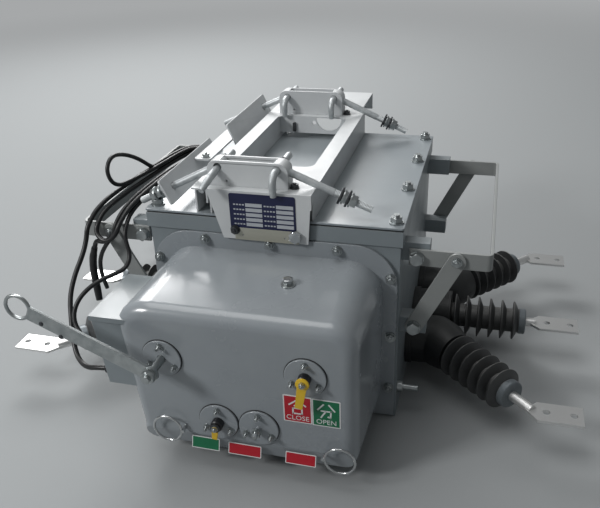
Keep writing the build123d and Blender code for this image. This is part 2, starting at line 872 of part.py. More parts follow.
# Mounting frame: two channels joined by two wide members, all one folded sheet
frame_middle = (frame_left + frame_right) / 2
frame_length = tank_depth / 2 - frame_front
window_width = frame_right - frame_left - 2 * channel_width
window_length = frame_window_rear - frame_window_front
with BuildPart() as mounting_frame:
    with BuildSketch(Plane.XY.offset(frame_top - frame_sheet)):
        with Locations((frame_middle, frame_front + frame_length / 2)):
            Rectangle(frame_right - frame_left, frame_length)
        with Locations(((frame_left + frame_rear_right) / 2, (frame_window_rear + frame_rear) / 2)):
            Rectangle(frame_rear_right - frame_left, frame_rear - frame_window_rear)
        with Locations((frame_middle, frame_window_front + window_length / 2)):
            RectangleRounded(window_width, window_length, frame_corner, mode=Mode.SUBTRACT)
    extrude(amount=frame_sheet)
    for wall_x in (
        frame_left + frame_sheet / 2,
        frame_left + channel_width - frame_sheet / 2,
        frame_right - channel_width + frame_sheet / 2,
        frame_right - frame_sheet / 2,
    ):
        with Locations((wall_x, 0, lid_top + frame_height / 2)):
            Box(frame_sheet, tank_depth, frame_height)
    with BuildSketch(front_plane(frame_front + frame_sheet)):
        with BuildLine():
            Polyline(
                (apron_left_top, frame_top),
                (frame_right, frame_top),
                (apron_right_foot, lid_top - apron_drop),
                (apron_left_foot, lid_top - apron_drop),
                close=True,
            )
        make_face()
    extrude(amount=frame_sheet)
    for gusset_x in (apron_left_top, frame_right - frame_sheet):
        with BuildSketch(Plane(origin=(gusset_x, 0, 0), x_dir=(0, 1, 0), z_dir=(1, 0, 0))):
            with BuildLine():
                Polyline(
                    (frame_front, frame_top),
                    (frame_front + gusset_depth, frame_top),
                    (frame_front, frame_top - gusset_height),
                    close=True,
                )
            make_face()
        extrude(amount=frame_sheet)
    with BuildSketch(front_plane(frame_window_rear + frame_sheet)):
        with Locations((frame_middle, frame_top - frame_flange_drop / 2)):
            Rectangle(window_width, frame_flange_drop)
        with Locations((web_notch_place, frame_top - frame_sheet)):
            Circle(web_notch_radius, mode=Mode.SUBTRACT)
        with Locations(web_hole_place):
            Circle(web_hole_radius, mode=Mode.SUBTRACT)
    extrude(amount=frame_sheet)
    with BuildSketch(front_plane(frame_rear)):
        with Locations(((frame_left + frame_rear_right) / 2, frame_top - frame_flange_drop / 2)):
            Rectangle(frame_rear_right - frame_left, frame_flange_drop)
    extrude(amount=frame_sheet)
keep(mounting_frame.part, "mounting_frame")


def bolt_route(seat, side, fall, swung):
    """The bent line of one hook bolt, from its thread end to the tip of its hook."""
    thread_end = seat + Vector(side * bolt_run, 0, -fall)
    if swung:
        return [thread_end, seat, seat - Vector(swung_hook_aside, swung_hook_forward, swung_hook_drop)]
    knee = seat - Vector(0, hook_inset + hook_forward, 0)
    return [thread_end, seat, knee, knee - Vector(0, 0, hook_drop)]


def make_bar(points, radius, bend):
    """A round bar along straight runs with round bends."""
    with BuildPart() as bar:
        with BuildLine() as route:
            FilletPolyline(*points, radius=bend)
        with BuildSketch(Plane(origin=points[0], z_dir=points[1] - points[0])):
            Circle(radius)
        sweep(path=route.wire())
    return bar.part


def make_hanger(front_y, height, bars, name):
    """A tray of bent sheet on edge: plate in front, returns above and at both ends."""
    with BuildPart() as hanger:
        with BuildSketch(front_plane(front_y + hanger_depth)) as outline:
            with Locations((hanger_centre, frame_top + height / 2)):
                Rectangle(hanger_width, height)
            fillet(outline.vertices().group_by(Axis.Y)[-1], hanger_corner)
        extrude(amount=hanger_depth)
        with BuildSketch(front_plane(front_y + hanger_depth)) as inside:
            with Locations((hanger_centre, frame_top + (height - hanger_sheet) / 2)):
                Rectangle(hanger_width - 2 * hanger_sheet, height - hanger_sheet)
            fillet(inside.vertices().group_by(Axis.Y)[-1], hanger_corner - hanger_sheet)
        extrude(amount=hanger_depth - hanger_sheet, mode=Mode.SUBTRACT)
        for bar in bars:
            add(bar, mode=Mode.SUBTRACT)
    return keep(hanger.part, name)


bolt_falls = {"front_left": 79.0, "front_right": 64.0, "rear_left": 71.0, "rear_right": 70.0}
hanger_rows = (
    ("front", hanger_front_y, hanger_front_height, hook_front_height),
    ("rear", hanger_rear_y, hanger_rear_height, hook_rear_height),
)
bolt_seats = {}
for place, front_y, height, hook_height in hanger_rows:
    passages = []
    for side_name, side in (("left", -1), ("right", 1)):
        bolt = f"{place}_{side_name}"
        bolt_seats[bolt] = Vector(
            hanger_centre + side * hook_half_spacing, front_y + hook_inset, frame_top + hook_height
        )
        route = bolt_route(bolt_seats[bolt], side, bolt_falls[bolt], bolt == "front_left")
        keep(make_bar(route, hook_bar_radius, hook_bend_radius), f"hook_bolt_{bolt}")
        passages.append(make_bar(route, hook_bar_radius + hook_clearance, hook_bend_radius))
    make_hanger(front_y, height, passages, f"hanger_{place}")


def make_clamp(bolt, run, reach_front, name):
    """A long clamp plate square to its hook bolt, at a distance run from the hanger."""
    down = Vector(-bolt_run, 0, -bolt_falls[bolt]).normalized()
    with BuildPart() as clamp:
        with BuildSketch(Plane(origin=bolt_seats[bolt] + down * run, x_dir=(0, 1, 0), z_dir=down)):
            with Locations((clamp_length / 2 - reach_front, 0)):
                RectangleRounded(clamp_length, clamp_height, clamp_thickness)
            Circle(hook_bar_radius + clamp_gap, mode=Mode.SUBTRACT)
        extrude(amount=clamp_thickness)
    return keep(clamp.part, name)


make_clamp("front_left", clamp_front_run, clamp_front_reach, "clamp_plate_front")
make_clamp("rear_left", clamp_rear_run, clamp_rear_reach, "clamp_plate_rear")



def plate_face_x(bolt, run, z):
    """Where the upper face of a clamp plate, run along its bolt, stands at height z."""
    seat = bolt_seats[bolt]
    length = hypot(bolt_run, bolt_falls[bolt])
    middle = seat + Vector(-bolt_run, 0, -bolt_falls[bolt]) * (run / length)
    return middle.X - (z - middle.Z) * bolt_falls[bolt] / bolt_run


# Tie strip: a flat bar level with the frame's top, between the two clamp plates
tie_left = plate_face_x("front_left", clamp_front_run, frame_top - tie_thickness) + tie_clearance
tie_right = plate_face_x("rear_left", clamp_rear_run + clamp_thickness, frame_top) - tie_clearance
with BuildPart() as tie_strip:
    with BuildSketch(Plane.XY.offset(frame_top - tie_thickness)):
        tie_middle = ((tie_left + tie_right) / 2, (tie_front + tie_rear) / 2)
        with Locations(tie_middle):
            RectangleRounded(tie_right - tie_left, tie_rear - tie_front, tie_corner)
            with GridLocations(0, tie_rear - tie_front - 2 * tie_hole_edge, 1, 2):
                Circle(tie_hole_radius, mode=Mode.SUBTRACT)
    extrude(amount=tie_thickness)
keep(tie_strip.part, "tie_strip")

# Nameplate on the apron
with BuildPart() as nameplate:
    with BuildSketch(front_plane(frame_front)):
        with Locations((nameplate_centre, frame_top - nameplate_top_drop - nameplate_height / 2)):
            RectangleRounded(nameplate_width, nameplate_height, 4 * nameplate_thickness)
    extrude(amount=nameplate_thickness)
keep(nameplate.part, "nameplate")

# Earth stud on the right wall, near the front
with BuildPart() as earth_stud:
    with BuildSketch(Plane(origin=(tank_side, tank_front + earth_inset, earth_height), z_dir=(1, 0, 0))):
        Circle(earth_boss_radius)
    extrude(amount=earth_boss_length)
    with BuildSketch(
        Plane(
            origin=(tank_side + earth_boss_length, tank_front + earth_inset, earth_height), z_dir=(1, 0, 0)
        )
    ):
        Circle(earth_stud_radius)
    extrude(amount=earth_stud_length - earth_boss_length)
keep(earth_stud.part, "earth_stud")


def bend_radii(points):
    """The radius at each inner point: as large as its two runs allow."""
    radii = []
    for before, corner, after in zip(points, points[1:], points[2:]):
        run_in = Vector(*corner) - Vector(*before)
        run_out = Vector(*after) - Vector(*corner)
        half_turn = radians(run_in.get_angle(run_out)) / 2
        radii.append(0.45 * min(run_in.length, run_out.length) / tan(half_turn))
    return radii


def make_cable(points, radius, name):
    """A cable's tube along straight runs joined by tangent arcs."""
    radii = bend_radii(points)
    with BuildPart() as cable:
        with BuildLine() as route:
            FilletPolyline(*points, radius=radii)
        with BuildSketch(Plane(origin=points[0], z_dir=Vector(*points[1]) - Vector(*points[0]))):
            Circle(radius)
        sweep(path=route.wire())
    length = route.wire().length
    print(f"{name}: {length:.0f} mm, radii {min(radii):.0f} to {max(radii):.0f} mm")
    print(f"  volume over section times length: {cable.part.volume / (pi * radius**2 * length):.4f}")
    return cable.part


def middle_of(first, second):
    """The middle of the run between two points of a route."""
    return tuple((a + b) / 2 for a, b in zip(first, second))


# Hank: the closed outer form of the cables' turns, draped over the guard's front leg and the lid's edge.
# Its two strands meet in the middle of a run at the front, and of another at the rear.
rear_corner = len(hank_route) // 2
front_middle = middle_of(hank_route[0], hank_route[1])
rear_middle = middle_of(hank_route[rear_corner], hank_route[rear_corner + 1])
inner_strand = (front_middle,) + hank_route[1 : rear_corner + 1] + (rear_middle,)
outer_strand = (rear_middle,) + hank_route[rear_corner + 1 :] + (hank_route[0], front_middle)
with BuildPart() as hank:
    add(make_cable(inner_strand, hank_radius, "hank, inner strand"))
    add(make_cable(outer_strand, hank_radius, "hank, outer strand"))
keep(hank.part, "control_cable_hank")


def gland_mouth(setback, height, distance):
    """The point on a gland's axis at a distance from the box's outer wall."""
    x = box_reach_bottom + box_lean * (height - box_bottom)
    return tuple(Vector(-x, box_front + setback, height) + wall_normal * distance)


foot_mouth = gland_mouth(foot_gland_setback, foot_gland_height, lower_gland_reach)
foot_entry = gland_mouth(foot_gland_setback, foot_gland_height, lower_gland_reach + cable_entry)
outer_cable = make_cable(outer_cable_route + (foot_entry, foot_mouth), cable_radius, "outer cable")
keep(outer_cable, "control_cable_outer")

lower_mouth = gland_mouth(lower_gland_setback, lower_gland_height, lower_gland_reach)
lower_entry = gland_mouth(lower_gland_setback, lower_gland_height, lower_gland_reach + cable_entry)
upper_cable = make_cable((lower_mouth, lower_entry) + upper_cable_route, cable_radius, "upper cable")
keep(upper_cable, "control_cable_upper")

keep(make_cable(sleeve_route, sleeve_radius, "sleeved end"), "control_cable_sleeve")
with BuildPart() as thin_cable:
    add(make_cable(thin_end_route, thin_end_radius, "thin end"))
    add(make_cable(loop_route, loop_radius, "loop"))
keep(thin_cable.part, "control_cable_loop")

for piece in finished:
    export_step(piece, f"parts/{piece.label}.step")
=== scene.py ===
"""Looks of an outdoor vacuum circuit breaker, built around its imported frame.

Lengths inside the classes are in millimetres, in the frame of the part; surfaces turn them to metres
when they become meshes.
"""

from __future__ import annotations

import logging
import math
from dataclasses import dataclass
from enum import Enum
from typing import Callable, Iterable, Sequence

import bmesh
import bpy
import numpy as np
from mathutils import Matrix, Vector

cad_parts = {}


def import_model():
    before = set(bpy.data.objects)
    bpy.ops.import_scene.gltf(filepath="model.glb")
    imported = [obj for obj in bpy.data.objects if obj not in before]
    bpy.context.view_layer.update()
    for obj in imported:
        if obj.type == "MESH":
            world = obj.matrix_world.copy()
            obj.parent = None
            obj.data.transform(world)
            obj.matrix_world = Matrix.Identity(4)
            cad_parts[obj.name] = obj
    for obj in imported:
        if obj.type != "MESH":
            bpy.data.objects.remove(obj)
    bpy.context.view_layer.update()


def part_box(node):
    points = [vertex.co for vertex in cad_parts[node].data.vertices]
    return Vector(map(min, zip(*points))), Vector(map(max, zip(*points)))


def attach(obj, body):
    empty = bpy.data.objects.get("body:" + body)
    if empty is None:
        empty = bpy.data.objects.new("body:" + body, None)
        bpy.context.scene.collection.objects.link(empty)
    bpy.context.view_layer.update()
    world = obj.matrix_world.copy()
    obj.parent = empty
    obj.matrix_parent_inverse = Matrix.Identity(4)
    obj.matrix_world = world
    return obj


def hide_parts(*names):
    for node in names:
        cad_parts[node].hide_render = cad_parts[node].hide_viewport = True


LOG = logging.getLogger("breaker")
MM = 0.001
BODY = "breaker"
Pair = tuple[float, float]
Point = tuple[float, float, float]
UP: Point = (0, 0, 1)
FORWARD: Point = (0, -1, 0)
REARWARD: Point = (0, 1, 0)

# Spans of the noise in which a finish goes from colour to shade, and from its least roughness to its most
TINT_SPAN: Pair = (0.35, 0.65)
ROUGH_SPAN: Pair = (0.3, 0.7)
# Upward part of a face's normal, from where dust starts to where it lies fully
DUST_SPAN: Pair = (0.3, 1)
# The largest share of a run that a rounded corner takes
CUT_SHARE = 0.48
# Rings of points in one turn of a thread, and how far its radius falls, in pitches, for each pitch of phase
THREAD_RINGS = 6
THREAD_FALL = 0.55
# Height of a capital letter, as a share of the font's size
CAPITAL_SHARE = 0.7
# Points of a CAD mesh this near each other, in metres, are one, and faces this near flat are merged
MERGE_GAP = 1e-5
FLAT_ANGLE = math.radians(0.6)
# A direction counts as nearly upright when its upward part is larger
NEARLY_UPRIGHT = 0.99
# An edge is sharp, and gets rounded, past this angle
SHARP_ANGLE = math.radians(32)


class Side(Enum):
    """The side of the breaker, seen from the mechanism."""

    RIGHT = 1
    LEFT = -1


def linear(code: str) -> tuple[float, float, float, float]:
    """Turns an sRGB hex code into a linear colour with full alpha.

    Args:
        code: six hexadecimal digits.

    Returns:
        Red, green, blue and alpha.
    """
    shares = np.array([int(code[i : i + 2], 16) for i in (0, 2, 4)]) / 255
    flat = np.where(shares <= 0.04045, shares / 12.92, ((shares + 0.055) / 1.055) ** 2.4)
    return (*(float(c) for c in flat), 1)


def add_node(
    tree: bpy.types.NodeTree,
    kind: str,
    values: dict | None = None,
    links: dict | None = None,
    **properties: object,
) -> bpy.types.Node:
    """Adds one shader node with its settings and links.

    Args:
        tree: the material's or world's node tree.
        kind: Blender's name of the node's type.
        values: values of inputs, by the input's name or number.
        links: output sockets that feed inputs, by the input's name or number.
        properties: the node's own settings.

    Returns:
        The new node.
    """
    made = tree.nodes.new(kind)
    for key, value in properties.items():
        setattr(made, key, value)
    for key, value in (values or {}).items():
        made.inputs[key].default_value = value
    for key, source in (links or {}).items():
        tree.links.new(source, made.inputs[key])
    return made


def mapped_range(
    tree: bpy.types.NodeTree,
    value: bpy.types.NodeSocket,
    before: Pair,
    after: Pair = (0, 1),
    **properties: object,
) -> bpy.types.NodeSocket:
    """Maps a value from one range to another, and returns the socket with the result."""
    ends = {"From Min": before[0], "From Max": before[1], "To Min": after[0], "To Max": after[1]}
    return add_node(tree, "ShaderNodeMapRange", ends, {"Value": value}, **properties).outputs["Result"]


def combined(
    tree: bpy.types.NodeTree, operation: str, one: bpy.types.NodeSocket, other: bpy.types.NodeSocket
) -> bpy.types.NodeSocket:
    """Combines two values by a math node's operation, and returns the socket with the result."""
    return add_node(tree, "ShaderNodeMath", links={0: one, 1: other}, operation=operation).outputs["Value"]


def emptied(owner: bpy.types.Material | bpy.types.World) -> bpy.types.NodeTree:
    """Switches a material or world over to nodes, and returns its tree without any.

    Args:
        owner: the material or world.

    Returns:
        Its empty node tree.
    """
    owner.use_nodes = True
    owner.node_tree.nodes.clear()
    return owner.node_tree


def new_object(name: str, data: bpy.types.ID) -> bpy.types.Object:
    """Makes an object of a mesh, curve, lamp or camera, and puts it in the scene.

    Args:
        name: the object's name.
        data: the mesh, curve, lamp or camera.

    Returns:
        The new object.
    """
    made = bpy.data.objects.new(name, data)
    bpy.context.scene.collection.objects.link(made)
    return made


def per_metre(size_mm: float) -> float:
    """Scale of a pattern on Object coordinates, which are metres, for a feature of that size."""
    return 1000 / size_mm


@dataclass(frozen=True)
class Finish:
    """A surface finish: what it is made of, and how it varies over the object.

    The colour wanders between two shades over patches of patch_mm, dust greys the faces that look up,
    and fine relief of grain_mm stands relief_mm high.
    """

    name: str
    slot: str
    colour: str
    shade: str
    roughness: float
    metallic: float = 0
    patch_mm: float = 120
    grain_mm: float = 3
    relief_mm: float = 0.02
    rough_spread: float = 0.08
    dust: str = "B9BBB8"
    dust_share: float = 0
    coat: float = 0
    stretch: Point = (1, 1, 1)

    def material(self) -> bpy.types.Material:
        """Builds the finish's node material, once.

        Returns:
            The material.
        """
        found = bpy.data.materials.get(self.name)
        if found:
            return found
        made = bpy.data.materials.new(self.name)
        tree = emptied(made)
        place = add_node(tree, "ShaderNodeTexCoord")
        mapped = add_node(
            tree, "ShaderNodeMapping", {"Scale": self.stretch}, {"Vector": place.outputs["Object"]}
        )
        where = {"Vector": mapped.outputs["Vector"]}
        coarse = {"Scale": per_metre(self.patch_mm), "Detail": 4, "Roughness": 0.6}
        fine = {"Scale": per_metre(self.grain_mm), "Detail": 3}
        patches = add_node(tree, "ShaderNodeTexNoise", coarse, where).outputs["Fac"]
        grain = add_node(tree, "ShaderNodeTexNoise", fine, where).outputs["Fac"]
        tint = add_node(
            tree,
            "ShaderNodeMix",
            {6: linear(self.colour), 7: linear(self.shade)},
            {0: mapped_range(tree, patches, TINT_SPAN)},
            data_type="RGBA",
        )
        colour = tint.outputs[2]
        if self.dust_share > 0:
            colour = self.dusted(tree, colour, patches)
        least, most = self.roughness - self.rough_spread, self.roughness + self.rough_spread
        rough = mapped_range(tree, patches, ROUGH_SPAN, (least, most))
        bump = add_node(
            tree, "ShaderNodeBump", {"Strength": 0.6, "Distance": self.relief_mm * MM}, {"Height": grain}
        )
        shader = add_node(
            tree,
            "ShaderNodeBsdfPrincipled",
            {"Metallic": self.metallic, "IOR": 1.5, "Coat Weight": self.coat, "Coat Roughness": 0.12},
            {"Base Color": colour, "Roughness": rough, "Normal": bump.outputs["Normal"]},
        )
        add_node(tree, "ShaderNodeOutputMaterial", links={"Surface": shader.outputs["BSDF"]})
        return made

    def dusted(
        self, tree: bpy.types.NodeTree, colour: bpy.types.NodeSocket, patches: bpy.types.NodeSocket
    ) -> bpy.types.NodeSocket:
        """Lays dust on the faces that look up, in patches, and returns the dusted colour.

        Args:
            tree: the material's node tree.
            colour: the colour without dust.
            patches: the noise that says where dust lies.

        Returns:
            The colour with dust.
        """
        shape = add_node(tree, "ShaderNodeNewGeometry")
        parts = add_node(tree, "ShaderNodeSeparateXYZ", links={"Vector": shape.outputs["Normal"]})
        upward = mapped_range(tree, parts.outputs["Z"], DUST_SPAN, (0, self.dust_share))
        mixed = add_node(
            tree,
            "ShaderNodeMix",
            {7: linear(self.dust)},
            {0: combined(tree, "MULTIPLY", upward, patches), 6: colour},
            data_type="RGBA",
        )
        return mixed.outputs[2]


# Baked polyester enamel, sprayed on the deep-drawn cover and the tank: a soft gloss with faint orange peel
HOUSING_ENAMEL = Finish(
    "baked_enamel_grey", "tank_enamel", "8C9296", "868C91", 0.25,
    grain_mm=2.5, relief_mm=0.012, rough_spread=0.06, dust_share=0.15, coat=0.4,
)
TANK_ENAMEL = Finish(
    "sprayed_enamel_grey", "tank_enamel", "7E868A", "777F83", 0.42, dust_share=0.3, coat=0.1
)
LID_ENAMEL = Finish("sprayed_enamel_lid", "lid_enamel", "868E93", "7D858A", 0.36, dust_share=0.25, coat=0.2)
# The folded frame and hangers carry a paler enamel, slightly chalky
FRAME_ENAMEL = Finish(
    "sprayed_enamel_pale", "frame_enamel", "C6C9CA", "BDC0C2", 0.42, grain_mm=2.5, dust_share=0.3, coat=0.1
)
BRACKET_ENAMEL = Finish(
    "satin_enamel_bracket", "bracket_enamel", "8A8D8C", "828584", 0.45,
    grain_mm=2, relief_mm=0.03, dust_share=0.2,
)
# Hot-vulcanised silicone rubber: matt, very dark, with a film of dust above
SILICONE = Finish(
    "moulded_silicone", "silicone_sheds", "393B3C", "414242", 0.46,
    grain_mm=1.5, relief_mm=0.01, dust="8C8A86", dust_share=0.35,
)
CAST_RESIN = Finish("cast_resin", "resin_root", "17191A", "1D1F20", 0.5, grain_mm=2, dust_share=0.1)
# Tinned copper keeps a soft, slightly streaked lustre
TINNED_COPPER = Finish(
    "tinned_copper", "tinned_copper", "B4B8B7", "A2A6A6", 0.42,
    metallic=1, patch_mm=25, grain_mm=1, relief_mm=0.01,
)
# Sand-cast end fittings of the bushings, left as cast under a thin grey primer
CAST_FITTING = Finish(
    "primed_cast_fitting", "zinc_steel", "70777B", "636A6E", 0.42,
    metallic=0.3, patch_mm=20, grain_mm=1.2, relief_mm=0.03,
)
ZINC_STEEL = Finish(
    "zinc_plated_steel", "zinc_steel", "B4B8B8", "9DA2A3", 0.36,
    metallic=1, patch_mm=18, grain_mm=0.8, relief_mm=0.01,
)
# Hot-dip galvanised rods: a dull, pale, faintly mottled zinc
GALVANISED = Finish(
    "hot_dip_galvanised", "zinc_steel", "BEC2C3", "AAAFB1", 0.48,
    metallic=0.5, patch_mm=14, grain_mm=1.2, relief_mm=0.03,
)
DARK_STEEL = Finish(
    "blackened_steel", "zinc_steel", "5A5C5E", "45474A", 0.46,
    metallic=0.8, patch_mm=12, grain_mm=0.8, relief_mm=0.01,
)
BRIGHT_WIRE = Finish(
    "bright_plated_wire", "bright_wire", "D0D2D2", "C2C4C5", 0.2,
    metallic=1, patch_mm=20, grain_mm=0.8, relief_mm=0.005,
)
POINTER_PAINT = Finish(
    "gloss_paint_yellow", "pointer_yellow", "D9B424", "CFA81F", 0.35, grain_mm=1.5, relief_mm=0.01, coat=0.2
)
GASKET_RUBBER = Finish("moulded_rubber", "gasket_rubber", "1A1B1B", "222222", 0.6, grain_mm=1)
GLAND_NYLON = Finish(
    "moulded_nylon_black", "black_plastic", "15161A", "1B1C1F", 0.4, grain_mm=1, relief_mm=0.01
)
CABLE_PVC = Finish(
    "extruded_pvc_black", "cable_sheath", "141516", "1C1D1E", 0.42,
    patch_mm=60, grain_mm=1.5, relief_mm=0.01,
)


def printed(name: str, colour: str, shade: str, metallic: float = 0) -> Finish:
    """The finish of a plate's or label's print: a flat colour under a faint gloss."""
    return Finish(name, "nameplate", colour, shade, 0.35, metallic=metallic, grain_mm=1, relief_mm=0.003)


LABEL_RED = printed("printed_film_red", "B01326", "A81022")
LABEL_GREEN = printed("printed_film_green", "0B6B45", "0A6340")
LABEL_WHITE = printed("printed_film_white", "D9DBDA", "D2D4D3")
PLATE_NAVY = printed("anodised_plate_navy", "1D2140", "22274A", metallic=0.3)
PLATE_FIELD = printed("anodised_plate_field", "BFC3C8", "B2B6BC", metallic=0.3)
STRIP_METAL = Finish(
    "brushed_aluminium_strip", "nameplate", "B9B8AC", "ADAC9F", 0.4,
    metallic=0.6, patch_mm=30, stretch=(0.1, 1, 1),
)


@dataclass
class Surface:
    """Points and faces of a mesh in millimetres, before Blender sees it."""

    points: np.ndarray
    faces: list[list[int]]

    @staticmethod
    def joined(surfaces: Iterable[Surface]) -> Surface:
        """Puts several surfaces side by side in one.

        Args:
            surfaces: the surfaces.

        Returns:
            One surface with all of them.
        """
        points: list[np.ndarray] = []
        faces: list[list[int]] = []
        start = 0
        for surface in surfaces:
            points.append(surface.points)
            faces += [[i + start for i in face] for face in surface.faces]
            start += len(surface.points)
        return Surface(np.concatenate(points), faces)

    def moved(self, matrix: np.ndarray, origin: Sequence[float]) -> Surface:
        """Turns the points by the matrix's rows, which are the new axes, and moves them to the origin."""
        return Surface(self.points @ matrix + np.asarray(origin, float), self.faces)

    def piece(self, name: str, finish: Finish, body: str = BODY, sharp: float = 35) -> bpy.types.Object:
        """Makes the surface a mesh object that rides on a body.

        Args:
            name: the piece's name.
            finish: its finish.
            body: the body that carries it.
            sharp: angle in degrees past which an edge stays sharp.

        Returns:
            The new object.
        """
        mesh = bpy.data.meshes.new(name)
        mesh.from_pydata((self.points * MM).tolist(), [], self.faces)
        shell = bmesh.new()
        shell.from_mesh(mesh)
        bmesh.ops.recalc_face_normals(shell, faces=shell.faces)
        shell.to_mesh(mesh)
        shell.free()
        mesh.shade_smooth()
        mesh.set_sharp_from_angle(angle=math.radians(sharp))
        mesh.materials.append(finish.material())
        made = new_object(name, mesh)
        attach(made, body)
        LOG.info("%s: %s, on %s", name, finish.name, body)
        return made


def skinned(rings: np.ndarray) -> Surface:
    """Joins rings of points into a closed surface.

    Each ring is joined to the next, and each point of a ring to its neighbour round it. The first and
    last rings are closed by a flat face.

    Args:
        rings: points by ring, place round the ring, and axis, in order.

    Returns:
        The surface.
    """
    count, around = rings.shape[:2]
    index = np.arange(count * around).reshape(count, around)
    beside = np.roll(index, -1, axis=1)
    quads = np.stack([index[:-1], beside[:-1], beside[1:], index[1:]], axis=-1)
    faces = quads.reshape(-1, 4).tolist() + [index[0][::-1].tolist(), index[-1].tolist()]
    return Surface(rings.reshape(-1, 3), faces)


def axes_along(direction: Sequence[float]) -> np.ndarray:
    """Rows of a right-handed frame whose third axis is the direction, and whose second leans upwards.

    Where the direction itself is nearly upright, the second axis leans towards the rear.

    Args:
        direction: a vector of any length.

    Returns:
        The frame, an axis a row.
    """
    w = np.asarray(direction, float)
    w = w / np.linalg.norm(w)
    guide = REARWARD if abs(w[2]) > NEARLY_UPRIGHT else UP
    u = np.cross(guide, w)
    u = u / np.linalg.norm(u)
    return np.stack([u, np.cross(w, u), w])


def round_angles(steps: int) -> np.ndarray:
    """Angles of that many even steps round a circle, in radians."""
    return np.arange(steps) * 2 * math.pi / steps


def lathed(
    reach: np.ndarray, heights: np.ndarray, origin: Sequence[float], direction: Sequence[float]
) -> Surface:
    """A closed surface round an axis, with a row of radii, one for each side, at each height along it.

    Args:
        reach: radii by height and side.
        heights: heights along the axis.
        origin: where the axis starts.
        direction: the way it runs.

    Returns:
        The surface.
    """
    sides = reach.shape[1]
    angle = round_angles(sides)
    rings = np.stack(
        [reach * np.cos(angle), reach * np.sin(angle), np.repeat(heights[:, None], sides, axis=1)], axis=-1
    )
    return skinned(rings).moved(axes_along(direction), origin)


def turned(
    profile: Sequence[Pair],
    origin: Sequence[float],
    direction: Sequence[float],
    sides: int,
    flats: float = 0,
) -> Surface:
    """A turned surface: each point of the profile is a height along the direction and a radius.

    With flats, the width across the flats of a hexagon, no radius passes flats / 2 / cos(a), where a is
    the angle from the middle of the nearest flat, so a cone above it cuts the corners' chamfer.

    Args:
        profile: pairs of height and radius.
        origin: where the axis starts.
        direction: the way it runs.
        sides: sides of each ring.
        flats: width across a hexagon's flats, or 0 for a round form.

    Returns:
        The surface.
    """
    heights, radii = np.array(profile, float).T
    reach = np.repeat(radii[:, None], sides, axis=1)
    if flats:
        off_middle = (round_angles(sides) + math.pi / 6) % (math.pi / 3) - math.pi / 6
        reach = np.minimum(reach, flats / 2 / np.cos(off_middle)[None, :])
    return lathed(reach, heights, origin, direction)


def rounded(points: Sequence[Sequence[float]], radius: float, steps: int) -> np.ndarray:
    """A polyline with each corner replaced by a short parabola that starts radius before it.

    Args:
        points: the polyline's points.
        radius: where each parabola starts, before its corner.
        steps: runs in each parabola.

    Returns:
        The rounded line's points.
    """
    line = np.asarray(points, float)
    made = [line[:1]]
    share = np.linspace(0, 1, steps + 1)[:, None]
    for before, corner, after in zip(line[:-2], line[1:-1], line[2:]):
        run_in, run_out = corner - before, after - corner
        cut_in = min(radius / np.linalg.norm(run_in), CUT_SHARE)
        cut_out = min(radius / np.linalg.norm(run_out), CUT_SHARE)
        start, end = corner - cut_in * run_in, corner + cut_out * run_out
        made.append((1 - share) ** 2 * start + 2 * share * (1 - share) * corner + share**2 * end)
    made.append(line[-1:])
    return np.concatenate(made)


def swept(line: np.ndarray, radii: np.ndarray | float, sides: int) -> Surface:
    """A round bar along a line of points.

    The ring at each point stands across the mean of the two runs beside it, and its axes are carried
    from ring to ring with the least twist.

    Args:
        line: points of its middle line.
        radii: one radius, or one for each point.
        sides: sides of each ring.

    Returns:
        The surface.
    """
    runs = np.diff(line, axis=0)
    runs = runs / np.linalg.norm(runs, axis=1, keepdims=True)
    tangent = np.concatenate([runs[:1], runs[:-1] + runs[1:], runs[-1:]])
    tangent = tangent / np.linalg.norm(tangent, axis=1, keepdims=True)
    across = np.zeros_like(tangent)
    across[0] = axes_along(tangent[0])[0]
    for i in range(1, len(tangent)):
        turned_over = across[i - 1] - tangent[i] * (across[i - 1] @ tangent[i])
        across[i] = turned_over / np.linalg.norm(turned_over)
    other = np.cross(tangent, across)
    angle = round_angles(sides)
    radii = np.broadcast_to(np.asarray(radii, float), len(line))[:, None, None]
    rings = line[:, None] + radii * (
        across[:, None] * np.cos(angle)[None, :, None] + other[:, None] * np.sin(angle)[None, :, None]
    )
    return skinned(rings)


def threaded(
    start: Sequence[float], end: Sequence[float], radius: float, pitch: float, sides: int = 18
) -> Surface:
    """A bar with a helical thread.

    The radius at a height h and an angle a falls below the full one by THREAD_FALL pitches times how far
    h / pitch - a / 360 degrees lies from the nearest whole number, so the crest climbs one pitch a turn.

    Args:
        start: middle of its foot.
        end: middle of its tip.
        radius: radius at the crest.
        pitch: rise of the crest in one turn.
        sides: sides of each ring.

    Returns:
        The surface.
    """
    start, end = np.asarray(start, float), np.asarray(end, float)
    length = float(np.linalg.norm(end - start))
    heights = np.linspace(0, length, max(8, int(length / pitch * THREAD_RINGS)))
    phase = heights[:, None] / pitch - round_angles(sides)[None, :] / (2 * math.pi)
    reach = radius - THREAD_FALL * pitch * np.abs(phase - np.round(phase))
    return lathed(reach, heights, start, end - start)


def slab(outline: Sequence[Pair], depth: float, origin: Sequence[float], axes: np.ndarray) -> Surface:
    """A flat plate: the outline in the first two axes, given thickness along the third.

    Args:
        outline: corners, anticlockwise.
        depth: thickness along the third axis.
        origin: where the axes start.
        axes: rows of the plate's frame.

    Returns:
        The surface.
    """
    flat = np.array(outline, float)
    count = len(flat)
    low = np.column_stack([flat, np.zeros(count)])
    high = np.column_stack([flat, np.full(count, depth)])
    ring = np.arange(count)
    walls = np.stack([ring, np.roll(ring, -1), np.roll(ring, -1) + count, ring + count], axis=-1)
    faces = walls.tolist() + [ring[::-1].tolist(), (ring + count).tolist()]
    return Surface(np.concatenate([low, high]), faces).moved(axes, origin)


